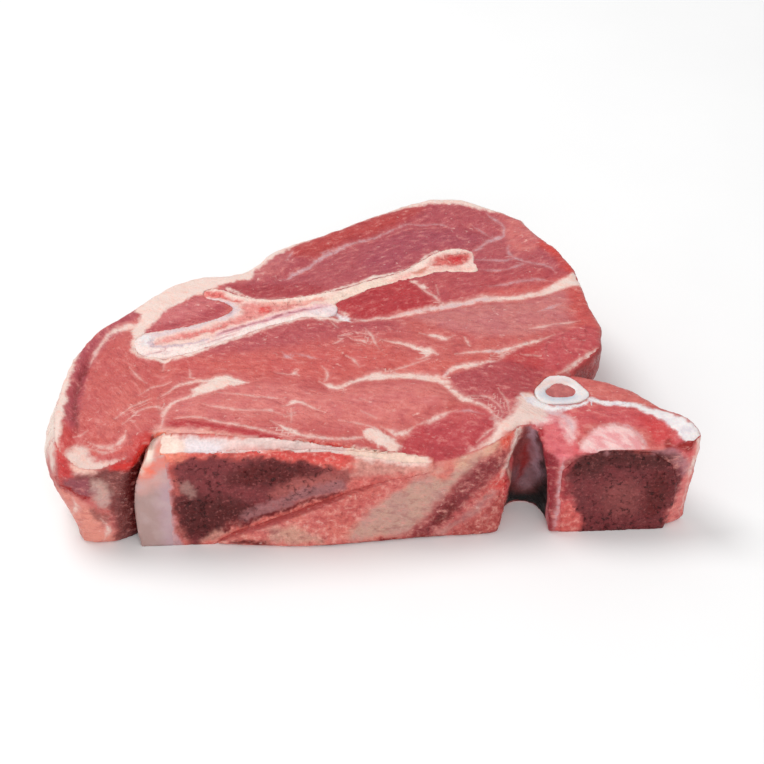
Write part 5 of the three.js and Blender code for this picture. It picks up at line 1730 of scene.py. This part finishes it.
# Each lamp's name, place, width and share of the key light's power, and what they light.
LAMPS = (("key", (-0.5, 0.35, 1.1), 0.6, 1.0), ("front fill", (0.15, -1.2, 0.75), 1.0, 0.85))
LIT_POINT = (0, 0, 0.02)
# The photograph's camera: the point that it looks at, its focal length and its frame's width in
# pixels, and its sensor's width in mm.
CAMERA_AIM = (0.002, 0.012, 0)
FOCAL_PIXELS, FRAME_PIXELS, SENSOR_WIDTH = 1900, 764, 36


def lay_floor(scene, settings):
    mesh = bpy.data.meshes.new("floor")
    half = FLOOR_HALF
    corners = [(-half, -half, 0), (half, -half, 0), (half, half, 0), (-half, half, 0)]
    mesh.from_pydata(corners, [], [(0, 1, 2, 3)])
    floor = bpy.data.objects.new("floor", mesh)
    floor.location.z = -FLOOR_DROP
    scene.collection.objects.link(floor)
    material, tree, shader = new_material("pale floor")
    tone = over(tree, grain(tree, own_place(tree), 60.0, 2.0), (*settings.floor, 1.0),
                paint(FLOOR_CLOUD))
    tree.links.new(tone, shader.inputs["Base Color"])
    shader.inputs["Roughness"].default_value = 0.8
    mesh.materials.append(material)


def light_from_all_round(scene, settings):
    world = bpy.data.worlds.new("soft studio")
    world.use_nodes = True
    background = world.node_tree.nodes["Background"]
    background.inputs["Color"].default_value = (1, 1, 1, 1)
    background.inputs["Strength"].default_value = settings.fill
    scene.world = world


def hang_lamps(scene, settings):
    for name, spot, width, share in LAMPS:
        light = bpy.data.lights.new(name, "AREA")
        light.shape = "DISK"
        light.size = width
        light.energy = share * settings.key_power
        lamp = bpy.data.objects.new(name, light)
        lamp.location = spot
        lamp.rotation_euler = (Vector(LIT_POINT) - Vector(spot)).to_track_quat("-Z", "Y").to_euler()
        scene.collection.objects.link(lamp)


def aim_camera(scene, settings):
    data = bpy.data.cameras.new("camera")
    data.sensor_width = SENSOR_WIDTH
    data.lens = SENSOR_WIDTH * FOCAL_PIXELS / FRAME_PIXELS
    camera = bpy.data.objects.new("camera", data)
    angle = settings.camera_angle
    camera.location = Vector(CAMERA_AIM) + settings.camera_distance * Vector(
        (0, -math.cos(angle), math.sin(angle)))
    camera.rotation_euler = (math.pi / 2 - angle, 0, 0)
    scene.collection.objects.link(camera)
    scene.camera = camera


class VEAL_OT_stage(bpy.types.Operator):
    """Sets up the floor, the lights and the camera"""

    bl_idname = "veal.stage"
    bl_label = "Stage"

    def execute(self, context):
        settings, scene = context.scene.veal_stage, context.scene
        lay_floor(scene, settings)
        light_from_all_round(scene, settings)
        hang_lamps(scene, settings)
        aim_camera(scene, settings)
        scene.view_settings.view_transform = "Standard"
        return {"FINISHED"}


class VEAL_PT_slice(bpy.types.Panel):
    """Lists the pieces of the veal slice"""

    bl_label = "Veal shoulder slice"
    bl_idname = "VEAL_PT_slice"
    bl_space_type = "VIEW_3D"
    bl_region_type = "UI"
    bl_category = "Veal"

    def draw(self, context):
        for kind in OPERATORS:
            self.layout.operator(kind.bl_idname)


SETTINGS = (("veal_meat", VealMeatSettings), ("veal_bones", VealBoneSettings),
            ("veal_stage", VealStageSettings))
OPERATORS = (VEAL_OT_meat, VEAL_OT_blade, VEAL_OT_backbone, VEAL_OT_cartilage, VEAL_OT_rib,
             VEAL_OT_stage)


def register():
    for name, kind in SETTINGS:
        bpy.utils.register_class(kind)
        setattr(bpy.types.Scene, name, bpy.props.PointerProperty(type=kind))
    for kind in (*OPERATORS, VEAL_PT_slice):
        bpy.utils.register_class(kind)


def unregister():
    for kind in (VEAL_PT_slice, *reversed(OPERATORS)):
        bpy.utils.unregister_class(kind)
    for name, kind in reversed(SETTINGS):
        delattr(bpy.types.Scene, name)
        bpy.utils.unregister_class(kind)


def main():
    register()
    for kind in OPERATORS:
        group, name = kind.bl_idname.split(".")
        getattr(getattr(bpy.ops, group), name)()


if __name__ == "__main__":
    main()
